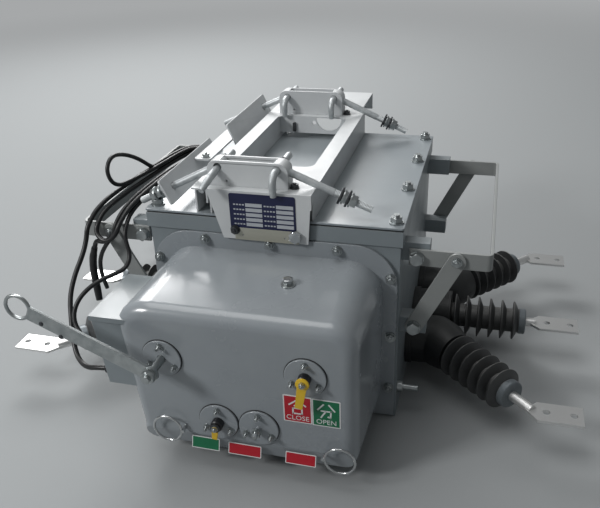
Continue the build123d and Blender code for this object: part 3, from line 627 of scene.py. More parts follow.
def rectangle(width: float, height: float, corner: float = 0, steps: int = 4) -> list[Pair]:
    """Corners of a rectangle about its middle, anticlockwise, each turned round a quarter circle.

    Args:
        width: size along the first axis.
        height: size along the second.
        corner: radius of the corners, or 0 for sharp ones.
        steps: runs in each quarter circle.

    Returns:
        The outline's points.
    """
    signs = ((1, 1), (-1, 1), (-1, -1), (1, -1))
    if corner <= 0:
        return [(sx * width / 2, sy * height / 2) for sx, sy in signs[2:] + signs[:2]]
    arc = np.linspace(0, math.pi / 2, steps + 1)
    points = []
    for quarter, (sx, sy) in enumerate(signs):
        turn = arc + quarter * math.pi / 2
        points += [
            (
                sx * (width / 2 - corner) + corner * math.cos(a),
                sy * (height / 2 - corner) + corner * math.sin(a),
            )
            for a in turn
        ]
    return points


# A plate's axes on the front: to the right, up, and towards the viewer
FRONT_AXES = np.array([(1, 0, 0), UP, FORWARD], float)


@dataclass(frozen=True)
class Bolt:
    """A hexagon head or nut on a washer, with the stud's end above it where there is one."""

    flats: float = 16
    height: float = 7
    washer: float = 10
    washer_height: float = 2
    stud: float = 0
    stud_radius: float = 5
    stud_pitch: float = 1.75
    chamfer: float = 0.12

    def surfaces(self, seat: Point, direction: Sequence[float]) -> list[Surface]:
        """Builds the fastener on a seat, looking along the direction.

        Args:
            seat: middle of its seat.
            direction: the way it stands on the seat.

        Returns:
            Its washer, its head and the stud's end, where it has one.
        """
        rise, top = self.washer_height, self.washer_height + self.height
        corner = self.flats / 2 / math.cos(math.pi / 6)
        washer = [(-0.5, self.washer * 0.98), (0, self.washer), (rise, self.washer)]
        head = [(rise, corner), (top - self.height * self.chamfer, corner), (top, self.flats / 2 * 0.97)]
        made = [turned(washer, seat, direction, 36), turned(head, seat, direction, 36, self.flats)]
        if self.stud:
            axis = np.asarray(direction, float) / np.linalg.norm(direction)
            foot, tip = (np.asarray(seat) + axis * height for height in (top - 1, top + self.stud))
            made.append(threaded(foot, tip, self.stud_radius, self.stud_pitch))
        return made


def fasteners(
    name: str,
    bolt: Bolt,
    seats: Sequence[tuple[Point, Sequence[float]]],
    finish: Finish = ZINC_STEEL,
    body: str = BODY,
) -> bpy.types.Object:
    """Joins one kind of fastener at several seats into one piece.

    Args:
        name: the piece's name.
        bolt: the fastener.
        seats: the middle of each seat, and the direction in which the fastener stands on it.
        finish: its finish.
        body: the body that carries it.

    Returns:
        The new piece.
    """
    surfaces = [s for seat, direction in seats for s in bolt.surfaces(seat, direction)]
    made = Surface.joined(surfaces).piece(name, finish, body, sharp=30)
    LOG.info("%s: %d fasteners", name, len(seats))
    return made


def softened(
    node: str,
    finish: Finish,
    body: str = BODY,
    edge: float = 0.8,
    reshape: Callable[[np.ndarray], np.ndarray] | None = None,
) -> bpy.types.Object:
    """A copy of a CAD node with its triangles merged and its edges rounded, which stands for the node.

    Args:
        node: the CAD node's name.
        finish: the finish it gets.
        body: the body that carries it.
        edge: width of the rounding on each sharp edge, in millimetres.
        reshape: moves the copy's points, in millimetres, where the real form departs a little.

    Returns:
        The new piece.
    """
    source = bpy.data.objects[node]
    mesh = source.data.copy()
    mesh.name = f"{node}_skin"
    shell = bmesh.new()
    shell.from_mesh(mesh)
    bmesh.ops.remove_doubles(shell, verts=shell.verts, dist=MERGE_GAP)
    bmesh.ops.dissolve_limit(shell, angle_limit=FLAT_ANGLE, verts=shell.verts, edges=shell.edges)
    shell.to_mesh(mesh)
    shell.free()
    if reshape:
        points = np.empty(len(mesh.vertices) * 3)
        mesh.vertices.foreach_get("co", points)
        mesh.vertices.foreach_set("co", (reshape(points.reshape(-1, 3) / MM) * MM).ravel())
    mesh.shade_smooth()
    mesh.set_sharp_from_angle(angle=SHARP_ANGLE)
    mesh.materials.clear()
    mesh.materials.append(finish.material())
    made = new_object(f"{node}_skin", mesh)
    if edge > 0:
        round_edges(made, edge)
    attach(made, body)
    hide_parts(node)
    LOG.info("%s: %s, on %s", made.name, finish.name, body)
    return made


def pierced(
    outlines: Sequence[Sequence[Pair]], depth: float, origin: Sequence[float], axes: np.ndarray
) -> Surface:
    """A flat plate with openings: the first outline less the others, filled and given thickness.

    Args:
        outlines: the plate's outline and those of its openings, in the first two axes.
        depth: its thickness along the third axis.
        origin: where the axes start.
        axes: rows of the plate's frame.

    Returns:
        The plate's surface, with its shared points merged.
    """
    curve = bpy.data.curves.new("outline", "CURVE")
    curve.dimensions = "2D"
    curve.fill_mode = "BOTH"
    curve.extrude = depth / 2
    for outline in outlines:
        spline = curve.splines.new("POLY")
        spline.points.add(len(outline) - 1)
        count = len(outline)
        flat = np.column_stack([np.array(outline, float), np.zeros(count), np.ones(count)])
        spline.points.foreach_set("co", flat.ravel())
        spline.use_cyclic_u = True
    return filled(curve, depth).moved(axes, origin)


def lettered(words: str, height: float, depth: float, origin: Sequence[float], axes: np.ndarray) -> Surface:
    """Generic lettering as raised print, centred on the origin.

    Args:
        words: the text.
        height: height of a capital.
        depth: thickness of the print.
        origin: middle of the text.
        axes: rows of the face's frame.

    Returns:
        The print's surface.
    """
    text = bpy.data.curves.new("words", "FONT")
    text.body = words
    text.size = height / CAPITAL_SHARE
    text.align_x = "CENTER"
    text.align_y = "CENTER"
    text.extrude = depth / 2
    text.resolution_u = 3
    return filled(text, depth).moved(axes, origin)


def filled(curve: bpy.types.Curve, depth: float) -> Surface:
    """The mesh of a filled flat curve that is as thick as depth, lifted to stand on its plane.

    Args:
        curve: the curve, extruded by half the depth both ways.
        depth: its thickness.

    Returns:
        Its surface, with points that meet made one.
    """
    mesh = bpy.data.meshes.new_from_object(bpy.data.objects.new(curve.name, curve))
    raw = np.empty(len(mesh.vertices) * 3)
    mesh.vertices.foreach_get("co", raw)
    places, merged = np.unique(np.round(raw.reshape(-1, 3), 4), axis=0, return_inverse=True)
    merged = merged.reshape(-1)
    faces = [[int(merged[i]) for i in polygon.vertices] for polygon in mesh.polygons]
    return Surface(places + (0, 0, depth / 2), [face for face in faces if len(set(face)) == len(face)])


def circle(centre: Pair, radius: float, steps: int = 24) -> list[Pair]:
    """Points round a circle."""
    return [
        (centre[0] + radius * math.cos(a), centre[1] + radius * math.sin(a)) for a in round_angles(steps)
    ]


def stroke(start: Pair, end: Pair, width: float) -> list[Pair]:
    """Corners of a straight brush stroke of even width.

    Args:
        start: middle of one end.
        end: middle of the other.
        width: width across the stroke.

    Returns:
        The four corners.
    """
    run = np.array(end, float) - np.array(start, float)
    side = np.array([-run[1], run[0]]) / np.linalg.norm(run) * width / 2
    corners = (np.array(start) - side, np.array(end) - side, np.array(end) + side, np.array(start) + side)
    return [tuple(float(c) for c in corner) for corner in corners]


def round_edges(made: bpy.types.Object, width: float) -> None:
    """Gives a piece's sharp edges a live bevel of that width, in millimetres.

    Args:
        made: the piece.
        width: width of the bevel.
    """
    rounding = made.modifiers.new("edges", "BEVEL")
    rounding.width = width * MM
    rounding.segments = 2
    rounding.limit_method = "ANGLE"
    rounding.angle_limit = SHARP_ANGLE
    rounding.use_clamp_overlap = True
    rounding.harden_normals = True


def centre_of(node: str) -> np.ndarray:
    """The middle of a CAD node's box, in millimetres."""
    low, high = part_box(node)
    return (np.array(low) + np.array(high)) / 2 / MM


def corners_of(node: str) -> tuple[np.ndarray, np.ndarray]:
    """The lowest and highest corner of a CAD node, in millimetres."""
    low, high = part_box(node)
    return np.array(low) / MM, np.array(high) / MM


@dataclass(frozen=True)
class Lamp:
    """A soft rectangular lamp: its place, the point it faces and its size in metres, and its watts."""

    name: str
    place: Point
    aim: Point
    size: Pair
    power: float

    def hang(self) -> None:
        """Adds the lamp to the scene."""
        light = bpy.data.lights.new(self.name, "AREA")
        light.shape = "RECTANGLE"
        light.size, light.size_y = self.size
        light.energy = self.power
        made = new_object(self.name, light)
        made.location = self.place
        made.rotation_euler = (Vector(self.aim) - Vector(self.place)).to_track_quat("-Z", "Y").to_euler()


@dataclass
class Studio:
    """Floor, lamps and the camera at the photograph's place."""

    eye: Point = (350.8, -1274.4, 886.6)
    pitch: float = 27.48
    yaw: float = -16.06
    roll: float = 2.28
    focal_px: float = 706.6
    photo_width_px: float = 600
    sensor: float = 36
    floor_reach: float = 30
    floor_tone: str = "979A9B"
    floor_roughness: float = 0.85
    backdrop: str = "A6A8A9"
    backdrop_level: float = 1
    sky: str = "C9CCCE"
    sky_level: float = 0.31
    fade: Pair = (1.6, 5.5)
    lamps: tuple[Lamp, ...] = (
        Lamp("window_rear", (-2, 3.3, 2.6), (0, 0, 0.3), (2.9, 1.8), 130),
        Lamp("skylight", (-2.1, 3.2, 2.75), (-0.1, -0.4, 0.3), (1, 0.6), 34),
        Lamp("ceiling", (-0.8, -0.2, 3.2), (0, 0, 0.2), (2.2, 2.2), 42),
        Lamp("window_left", (-2.3, -2.3, 2.2), (0, -0.2, 0.2), (0.7, 0.7), 61),
    )

    def camera(self) -> None:
        """Sets the camera where the photograph was taken from."""
        pitch, yaw, roll = (math.radians(a) for a in (self.pitch, self.yaw, self.roll))
        level = math.cos(pitch)
        forward = Vector((math.sin(yaw) * level, math.cos(yaw) * level, -math.sin(pitch)))
        right = Vector((math.cos(yaw), -math.sin(yaw), 0))
        down = forward.cross(right)
        rolled_right = math.cos(roll) * right + math.sin(roll) * down
        rolled_down = -math.sin(roll) * right + math.cos(roll) * down
        lens = bpy.data.cameras.new("camera")
        lens.sensor_width = self.sensor
        lens.lens = self.focal_px / self.photo_width_px * self.sensor
        lens.clip_end = 50
        made = new_object("camera", lens)
        axes = (rolled_right, -rolled_down, -forward, [c * MM for c in self.eye])
        made.matrix_world = Matrix([[axis[i] for axis in axes] for i in range(3)] + [[0, 0, 0, 1]])
        bpy.context.scene.camera = made

    def floor(self) -> None:
        """Lays a plain grey floor under the part."""
        mesh = bpy.data.meshes.new("floor")
        corners = [(x, y, 0) for x, y in rectangle(2 * self.floor_reach, 2 * self.floor_reach)]
        mesh.from_pydata(corners, [], [(0, 1, 2, 3)])
        mesh.materials.append(self.floor_paint())
        new_object("floor", mesh)

    def floor_paint(self) -> bpy.types.Material:
        """Grey matt paint that goes over into the backdrop's tone far from the part.

        The share of the backdrop rises from 0 to 1 between the two fade distances from the middle, and
        counts only for rays that the camera or a gloss sends.

        Returns:
            The floor's material.
        """
        paint = bpy.data.materials.new("floor_paint")
        tree = emptied(paint)
        shape = add_node(tree, "ShaderNodeNewGeometry")
        away = add_node(
            tree, "ShaderNodeVectorMath", links={0: shape.outputs["Position"]}, operation="LENGTH"
        )
        fade = mapped_range(tree, away.outputs["Value"], self.fade, interpolation_type="SMOOTHSTEP")
        way = add_node(tree, "ShaderNodeLightPath").outputs
        sent = combined(tree, "MAXIMUM", way["Is Camera Ray"], way["Is Glossy Ray"])
        share = combined(tree, "MULTIPLY", fade, sent)
        tone = {"Base Color": linear(self.floor_tone), "Roughness": self.floor_roughness}
        matt = add_node(tree, "ShaderNodeBsdfPrincipled", tone)
        wall = {"Color": linear(self.backdrop), "Strength": self.backdrop_level}
        far = add_node(tree, "ShaderNodeEmission", wall)
        mixed = add_node(
            tree,
            "ShaderNodeMixShader",
            links={0: share, 1: matt.outputs["BSDF"], 2: far.outputs["Emission"]},
        )
        add_node(tree, "ShaderNodeOutputMaterial", links={"Surface": mixed.outputs["Shader"]})
        return paint

    def lighting(self) -> None:
        """Lights the part as a workshop with windows behind and above does, softly."""
        for lamp in self.lamps:
            lamp.hang()
        world = bpy.data.worlds.new("studio")
        tree = emptied(world)
        way = add_node(tree, "ShaderNodeLightPath")
        light, wall = (
            add_node(tree, "ShaderNodeBackground", {"Color": linear(tone), "Strength": level})
            for tone, level in ((self.sky, self.sky_level), (self.backdrop, self.backdrop_level))
        )
        seen = add_node(
            tree,
            "ShaderNodeMixShader",
            links={0: way.outputs["Is Camera Ray"], 1: light.outputs[0], 2: wall.outputs[0]},
        )
        add_node(tree, "ShaderNodeOutputWorld", links={"Surface": seen.outputs[0]})
        bpy.context.scene.world = world

    def build(self) -> None:
        """Sets the whole stage."""
        self.camera()
        self.floor()
        self.lighting()
        bpy.context.scene.view_settings.view_transform = "Standard"


@dataclass
class Tank:
    """Tank, rim, gasket and lid with the lid's studs and nuts."""

    lid_bolt_inset: float = 16
    lid_bolt_rows: tuple[float, ...] = (-219, -73, 77, 219)
    lid_nut: Bolt = Bolt(flats=18, height=9, washer=12.5, washer_height=2.5, stud=4, stud_radius=5.5)

    def build(self) -> None:
        """Dresses the tank's nodes and sets its fasteners."""
        softened("tank_body", TANK_ENAMEL, edge=1)
        softened("tank_rim", TANK_ENAMEL, edge=0.8)
        softened("lid_gasket", GASKET_RUBBER, edge=0.4)
        softened("lid", LID_ENAMEL, edge=1)
        edge, _, top = corners_of("lid")[1]
        seats = [
            ((side.value * (edge - self.lid_bolt_inset), y, top), UP)
            for side in Side
            for y in self.lid_bolt_rows
        ]
        fasteners("lid_nuts", self.lid_nut, seats)
        softened("earth_stud", ZINC_STEEL, edge=0.5)


@dataclass(frozen=True)
class Label:
    """A printed label on a flat face: a coloured field with a pale border and raised print."""

    centre: Pair
    size: Pair
    finish: Finish
    words: str = ""
    strokes: tuple[tuple[Pair, Pair], ...] = ()
    border: float = 2
    corner: float = 1.5
    sheet: float = 0.4
    field_rise: float = 0.6
    print_rise: float = 0.75
    print_width: float = 2.6
    words_below: float = 0.33
    words_tall: float = 0.17

    def spot(self, origin: Point, axes: np.ndarray, above: float = 0) -> np.ndarray:
        """The point of the face that lies so far above the label's middle."""
        return np.array([self.centre[0], self.centre[1] + above, 0]) @ axes + origin

    def field(self, origin: Point, axes: np.ndarray) -> Surface:
        """The coloured field, on its plane."""
        width, height = (side - 2 * self.border for side in self.size)
        return slab(rectangle(width, height), self.field_rise, self.spot(origin, axes), axes)

    def pale(self, origin: Point, axes: np.ndarray) -> list[Surface]:
        """The border's sheet and the print, both pale. Words and strokes are sized by its height.

        Args:
            origin: where the face's axes start.
            axes: rows of the face's frame.

        Returns:
            The pale surfaces.
        """
        place = self.spot(origin, axes)
        made = [slab(rectangle(*self.size, self.corner), self.sheet, place, axes)]
        height = self.size[1]
        if self.words:
            low = self.spot(origin, axes, -height * self.words_below)
            made.append(lettered(self.words, height * self.words_tall, self.print_rise, low, axes))
        made += [
            slab(
                stroke((a[0] * height, a[1] * height), (b[0] * height, b[1] * height), self.print_width),
                self.print_rise, place, axes,
            )
            for a, b in self.strokes
        ]
        return made


# The two signs for closed and open as brush strokes, in shares of the label's height
CLOSED_SIGN = (
    ((0, 0.36), (-0.27, 0.14)), ((0, 0.36), (0.27, 0.14)), ((-0.11, 0.13), (0.11, 0.13)),
    ((-0.15, 0.04), (0.15, 0.04)), ((-0.15, -0.16), (0.15, -0.16)), ((-0.14, 0.06), (-0.14, -0.18)),
    ((0.14, 0.06), (0.14, -0.18)),
)
OPEN_SIGN = (
    ((-0.07, 0.35), (-0.27, 0.11)), ((0.07, 0.35), (0.27, 0.11)), ((-0.17, 0.09), (0.17, 0.09)),
    ((0.15, 0.11), (0.12, -0.16)), ((0.13, -0.15), (0.04, -0.1)), ((-0.01, 0.09), (-0.17, -0.17)),
)


@dataclass
class Mechanism:
    """Flange, housing, round plates, pointers, lever, pull rings, labels and the side box."""

    flange_bolts: tuple[Pair, ...] = (
        (0, 342), (119, 342), (-119, 342), (211, 298), (-211, 298), (213, 181), (-213, 181),
        (211, 71), (-211, 71),
    )
    flange_bolt: Bolt = Bolt(flats=14, height=6, washer=9.5, washer_height=1.8, stud=4, stud_radius=4)
    plate_screw: Bolt = Bolt(flats=8, height=5, washer=5.5, washer_height=1.2, stud=6, stud_radius=2.6)
    screw_circle: float = 25
    screw_angles: tuple[float, ...] = (90, 210, 330)
    plate_front: float = -436
    face: float = -432
    # A dark rubber gasket under each round plate; its thin rim is painted shade, the shadow round the
    # plate's edge
    shadow_gasket_radius: float = 35.2
    shadow_gasket_depth: float = 1.4
    boss: tuple[Pair, ...] = ((0, 4.6), (0, 10.5), (11, 10.5), (12.5, 9), (12.5, 4.6))
    pointer_back: float = -450
    hubs: tuple[tuple[str, float, Finish], ...] = (
        ("position", 11, POINTER_PAINT), ("spring", 8, DARK_STEEL),
    )
    hub_height: float = 2.8
    hub_nut: Bolt = Bolt(flats=8, height=4, washer=5.5, washer_height=1, stud=2, stud_radius=2.2)
    lever_front: float = -479
    lever_nut: Bolt = Bolt(flats=21, height=8, washer=13, washer_height=2, stud=5, stud_radius=6.2)
    spindle_nut: Bolt = Bolt(flats=13, height=7, washer=8.5, washer_height=1.5, stud=5, stud_radius=3.6)
    spindle_seat: float = 9
    lever_rivets: tuple[Pair, ...] = ((-308, 288), (-277, 268))
    rivet: tuple[Pair, ...] = ((0, 4), (0.8, 3.8), (1.6, 2.4), (1.8, 1))
    vent_ring: tuple[Pair, ...] = ((-0.5, 5), (-0.5, 8.3), (1.6, 8.3), (2, 7.6), (2, 5))
    vent_socket: tuple[Pair, ...] = ((0, 5), (0.5, 5))
    chin_top: float = 68
    chin_depth: float = 26
    chin_forward: float = 16
    chin_drop: float = 7
    flange_face: float = -243.5
    flare: float = 21
    flare_from: float = -128
    flare_run: float = 62
    flare_rise: float = 190
    state_labels: tuple[Label, ...] = (
        Label((94, 151.5), (47, 53), LABEL_RED, "CLOSE", CLOSED_SIGN),
        Label((141, 151), (46, 53), LABEL_GREEN, "OPEN", OPEN_SIGN),
    )
    chin_labels: tuple[Label, ...] = (
        Label((-70, -16), (50, 22), LABEL_GREEN, border=1.5),
        Label((0, -17), (58, 21), LABEL_RED, border=1.5),
        Label((97, -17), (52, 21), LABEL_RED, border=1.5),
    )

    def formed(self, points: np.ndarray) -> np.ndarray:
        """Moves the chin's foot forward and down, and flares the upper left corner towards the front.

        A point of the chin moves by the product of two shares: how far it lies below the chin's top, and
        how far in front of the chin's back. One of the corner moves to the left by the product of three:
        how far it lies to the left, in front of the flange and above the foot. Each runs from 0 to 1.

        Args:
            points: the housing's points.

        Returns:
            The moved points.
        """
        x, y, z = points.T
        below = np.clip((self.chin_top - z) / self.chin_depth, 0, 1)
        before = np.clip((self.face + 2 * self.chin_depth - y) / self.chin_depth, 0, 1)
        aside = np.clip((self.flare_from - x) / self.flare_run, 0, 1)
        aside = aside * aside * (3 - 2 * aside)
        ahead = np.clip((self.flange_face - y) / (self.flange_face - self.face), 0, 1)
        above = np.clip((z - self.chin_top) / self.flare_rise, 0, 1)
        moved = points.copy()
        moved[:, 0] -= self.flare * aside * ahead * above
        moved[:, 1] -= self.chin_forward * below * before
        moved[:, 2] -= self.chin_drop * below * before
        return moved

    def plates(self) -> None:
        """Dresses the round plates, each with three screws and a dark gasket whose rim paints its shadow."""
        seats = []
        shadow_gaskets = []
        for node in ("charge_shaft_plate", "position_plate", "spring_plate", "blank_plate"):
            softened(node, HOUSING_ENAMEL, edge=0.5)
            x, _, z = centre_of(node)
            for turn in map(math.radians, self.screw_angles):
                aside, above = self.screw_circle * math.cos(turn), self.screw_circle * math.sin(turn)
                seats.append(((x + aside, self.plate_front, z + above), FORWARD))
            # The gasket's dark rim paints the shadow that the plate throws on the housing
            rim = [(0, self.shadow_gasket_radius), (self.shadow_gasket_depth, self.shadow_gasket_radius - 0.2)]
            shadow_gaskets.append(turned(rim, (x, self.face, z), FORWARD, 64))
        fasteners("plate_screws", self.plate_screw, seats)
        Surface.joined(shadow_gaskets).piece("plate_gaskets", GASKET_RUBBER)

    def pointers(self) -> None:
        """Dresses the two pointers with their bosses, hubs and nuts, and the blank plate's spindle."""
        bosses = []
        for kind, reach, finish in self.hubs:
            body = f"{kind}_pointer"
            softened(body, POINTER_PAINT, body, edge=0.3)
            x, _, z = centre_of(f"{kind}_plate")
            bosses.append(turned(self.boss, (x, self.plate_front, z), FORWARD, 36))
            top = self.hub_height
            profile = [(0, reach - 0.3), (0.3, reach), (top - 0.5, reach), (top, reach - 1)]
            hub = turned(profile, (x, self.pointer_back, z), FORWARD, 36)
            hub.piece(f"{kind}_pointer_hub", finish, body)
            seat = ((x, self.pointer_back - top, z), FORWARD)
            fasteners(f"{kind}_pointer_nut", self.hub_nut, [seat], ZINC_STEEL, body)
        Surface.joined(bosses).piece("pointer_bosses", GLAND_NYLON)
        x, _, z = centre_of("blank_plate")
        fasteners("spindle_nut", self.spindle_nut, [((x, self.plate_front - self.spindle_seat, z), FORWARD)])

    def labels(self) -> None:
        """Prints the state labels on the front face and three bare ones on the chin."""
        chin = np.array([0, self.chin_forward - self.chin_depth, -self.chin_depth - self.chin_drop])
        up = -chin / np.linalg.norm(chin)
        chin_axes = np.stack([FRONT_AXES[0], up, np.cross(FRONT_AXES[0], up)])
        placed = [(label, (0, self.face, 0), FRONT_AXES) for label in self.state_labels]
        placed += [(label, (0, self.face - 0.2, self.chin_top), chin_axes) for label in self.chin_labels]
        pale = [surface for label, origin, axes in placed for surface in label.pale(origin, axes)]
        Surface.joined(pale).piece("label_borders_and_print", LABEL_WHITE)
        for name, finish in (("label_fields_red", LABEL_RED), ("label_fields_green", LABEL_GREEN)):
            fields = [label.field(origin, axes) for label, origin, axes in placed if label.finish is finish]
            Surface.joined(fields).piece(name, finish)

    def lever(self) -> None:
        """Dresses the charging lever, with the nut on its shaft and two rivets near its ring."""
        softened("charge_lever", ZINC_STEEL, "charge_lever", edge=0.6)
        x, _, z = centre_of("charge_shaft_plate")
        seat = ((x, self.lever_front, z), FORWARD)
        fasteners("charge_lever_nut", self.lever_nut, [seat], ZINC_STEEL, "charge_lever")
        rivets = [turned(self.rivet, (x, self.lever_front, z), FORWARD, 20) for x, z in self.lever_rivets]
        Surface.joined(rivets).piece("charge_lever_rivets", DARK_STEEL, "charge_lever")

    def build(self) -> None:
        """Dresses the mechanism's nodes and sets its small parts."""
        softened("mechanism_flange", HOUSING_ENAMEL, edge=0.8)
        softened("mechanism_housing", HOUSING_ENAMEL, edge=0, reshape=self.formed)
        front = corners_of("mechanism_flange")[0][1]
        fasteners("flange_bolts", self.flange_bolt, [((x, front, z), FORWARD) for x, z in self.flange_bolts])
        self.plates()
        self.pointers()
        self.labels()
        self.lever()
        softened("vent_plug", ZINC_STEEL, edge=0.4)
        x, y, _ = centre_of("vent_plug")
        crown = (x, y, corners_of("vent_plug")[1][2])
        turned(self.vent_ring, crown, UP, 36).piece("vent_ring", BRIGHT_WIRE)
        turned(self.vent_socket, crown, UP, 6).piece("vent_socket", GASKET_RUBBER)
        softened("side_box", TANK_ENAMEL, edge=1.2)
        softened("side_box_cover", TANK_ENAMEL, edge=1)
        softened("cable_gland", GLAND_NYLON, edge=0.4)
        softened("lower_cable_gland", GLAND_NYLON, edge=0.4)
        for ring in ("close_pull_ring", "open_pull_ring"):
            softened(ring, BRIGHT_WIRE, ring, edge=0)


@dataclass
class Guards:
    """Flat-bar guards and braces on both sides, with the bolts at their lugs and joints."""

    root: Pair = (250, 330)
    head: Pair = (316, 330)
    foot: Pair = (250, 196)
    leg_face: float = 221.5
    brace_face: float = 226.5
    root_bolt: Bolt = Bolt(flats=21, height=9, washer=12.5, washer_height=2)
    head_bolt: Bolt = Bolt(flats=13, height=5, washer=9, washer_height=1.5, stud=3, stud_radius=4)

    def build(self) -> None:
        """Dresses the guards and braces and sets their bolts, front and rear."""
        for node in ("guard_right", "guard_left", "braces_right", "braces_left"):
            softened(node, BRACKET_ENAMEL, edge=0.7)
        ends = [(side.value, leg) for side in Side for leg in (-1, 1)]
        large = [((s * self.root[0], leg * self.leg_face, self.root[1]), (0, leg, 0)) for s, leg in ends]
        large += [((s * self.foot[0], leg * self.brace_face, self.foot[1]), (0, leg, 0)) for s, leg in ends]
        fasteners("guard_bolts", self.root_bolt, large)
        heads = [((s * self.head[0], leg * self.brace_face, self.head[1]), (0, leg, 0)) for s, leg in ends]
        fasteners("brace_head_bolts", self.head_bolt, heads)


@dataclass
class Bushings:
    """The six bushings, with the cast fitting that caps each one."""

    fitting_radius: float = 26
    fitting_length: float = 12.6
    fitting_edge: float = 0.6
    stud_radius: float = 9.2
    terminal_stud: float = 9

    def fitting(self, place: str, side: Side) -> Surface:
        """The end fitting: a collar over the last of the sheds, where the terminal's stud leaves.

        Args:
            place: front, middle or rear.
            side: the side of the breaker.

        Returns:
            The fitting's surface.
        """
        suffix = f"{place}_{side.name.lower()}"
        fan = {"front": -1, "middle": 0, "rear": 1}[place]
        direction = np.array([side.value * (1 if fan == 0 else math.sqrt(0.5)), fan * math.sqrt(0.5), 0])
        low, high = corners_of(f"terminal_{suffix}")
        inward = np.abs(direction) * self.terminal_stud
        inner = (high[0] if side is Side.LEFT else low[0]) + side.value * inward[1]
        y = centre_of(f"bushing_sheds_{suffix}")[1]
        if fan:
            y = (low[1] if fan > 0 else high[1]) + fan * inward[0]
        start = np.array([inner, y, (low[2] + high[2]) / 2])
        reach, length, stud = self.fitting_radius, self.fitting_length, self.stud_radius
        edge = self.fitting_edge
        profile = [
            (-length, reach - edge), (edge - length, reach), (-1.2, reach), (0.4, reach - 1.6),
            (0.4, stud + 2), (1.6, stud + 1.2), (1.6, stud),
        ]
        return turned(profile, start, direction, 48)

    def build(self) -> None:
        """Dresses roots, sheds, fittings and terminals."""
        fittings = []
        for side in Side:
            for place in ("front", "middle", "rear"):
                suffix = f"{place}_{side.name.lower()}"
                softened(f"bushing_root_{suffix}", CAST_RESIN, edge=1)
                softened(f"bushing_sheds_{suffix}", SILICONE, edge=0.6)
                softened(f"terminal_{suffix}", TINNED_COPPER, edge=0.5)
                fittings.append(self.fitting(place, side))
        Surface.joined(fittings).piece("bushing_end_fittings", CAST_FITTING)


@dataclass(frozen=True)
class HookBolt:
    """A hook bolt: a J hook through the hanger, and the inclined tie rod whose eye sits on its shank."""

    name: str
    side: Side
    seat: Point
    fall: float
    hanger_face: float
    swung: bool = False
    run: float = 157
    radius: float = 6.5
    eye_radius: float = 12
    thread_from: float = 100
    forward: float = 44
    drop: float = 36
    bend: float = 26
    shank_reach: float = 76
    tip_back: float = 3
    swung_knee: Point = (-2, -28, -4)
    swung_tip: Point = (-12, -66, -24)
    tip_taper: float = 1.2
    eye_half: float = 9
    rod_from: float = 6
    pitch: float = 2.5

    @property
    def direction(self) -> np.ndarray:
        """Unit run of the tie rod, outwards and down."""
        run = np.array([self.side.value * self.run, 0, -self.fall])
        return run / np.linalg.norm(run)

    @property
    def length(self) -> float:
        """Length of the tie rod from the shank to the end of its thread."""
        return math.hypot(self.run, self.fall)

    def at(self, run: float) -> Point:
        """The point on the tie rod at that distance from the shank."""
        return tuple(float(c) for c in np.array(self.seat) + self.direction * run)

    def surfaces(self) -> list[Surface]:
        """The hook with its shank, the rod's eye, its plain part and its thread.

        Returns:
            The surfaces, in that order.
        """
        seat = np.array(self.seat)
        knee, tip = (0, -self.forward, 0), (0, self.tip_back - self.forward, -self.drop)
        if self.swung:
            knee, tip = self.swung_knee, self.swung_tip
        rear = (self.seat[0], self.hanger_face + self.shank_reach, self.seat[2])
        line = rounded([rear, seat + knee, seat + tip], self.bend, 10)
        taper = np.full(len(line), self.radius)
        taper[-1] -= self.tip_taper
        reach, half = self.eye_radius, self.eye_half
        eye = [(-half, reach - 1), (1 - half, reach), (half - 1, reach), (half, reach - 1)]
        plain = [self.at(run) for run in (self.rod_from, self.thread_from, self.thread_from + 0.5)]
        return [
            swept(line, taper, 20),
            turned(eye, self.seat, REARWARD, 32),
            swept(np.array(plain), self.radius, 20),
            threaded(self.at(self.thread_from), self.at(self.length), self.radius - 0.1, self.pitch),
        ]


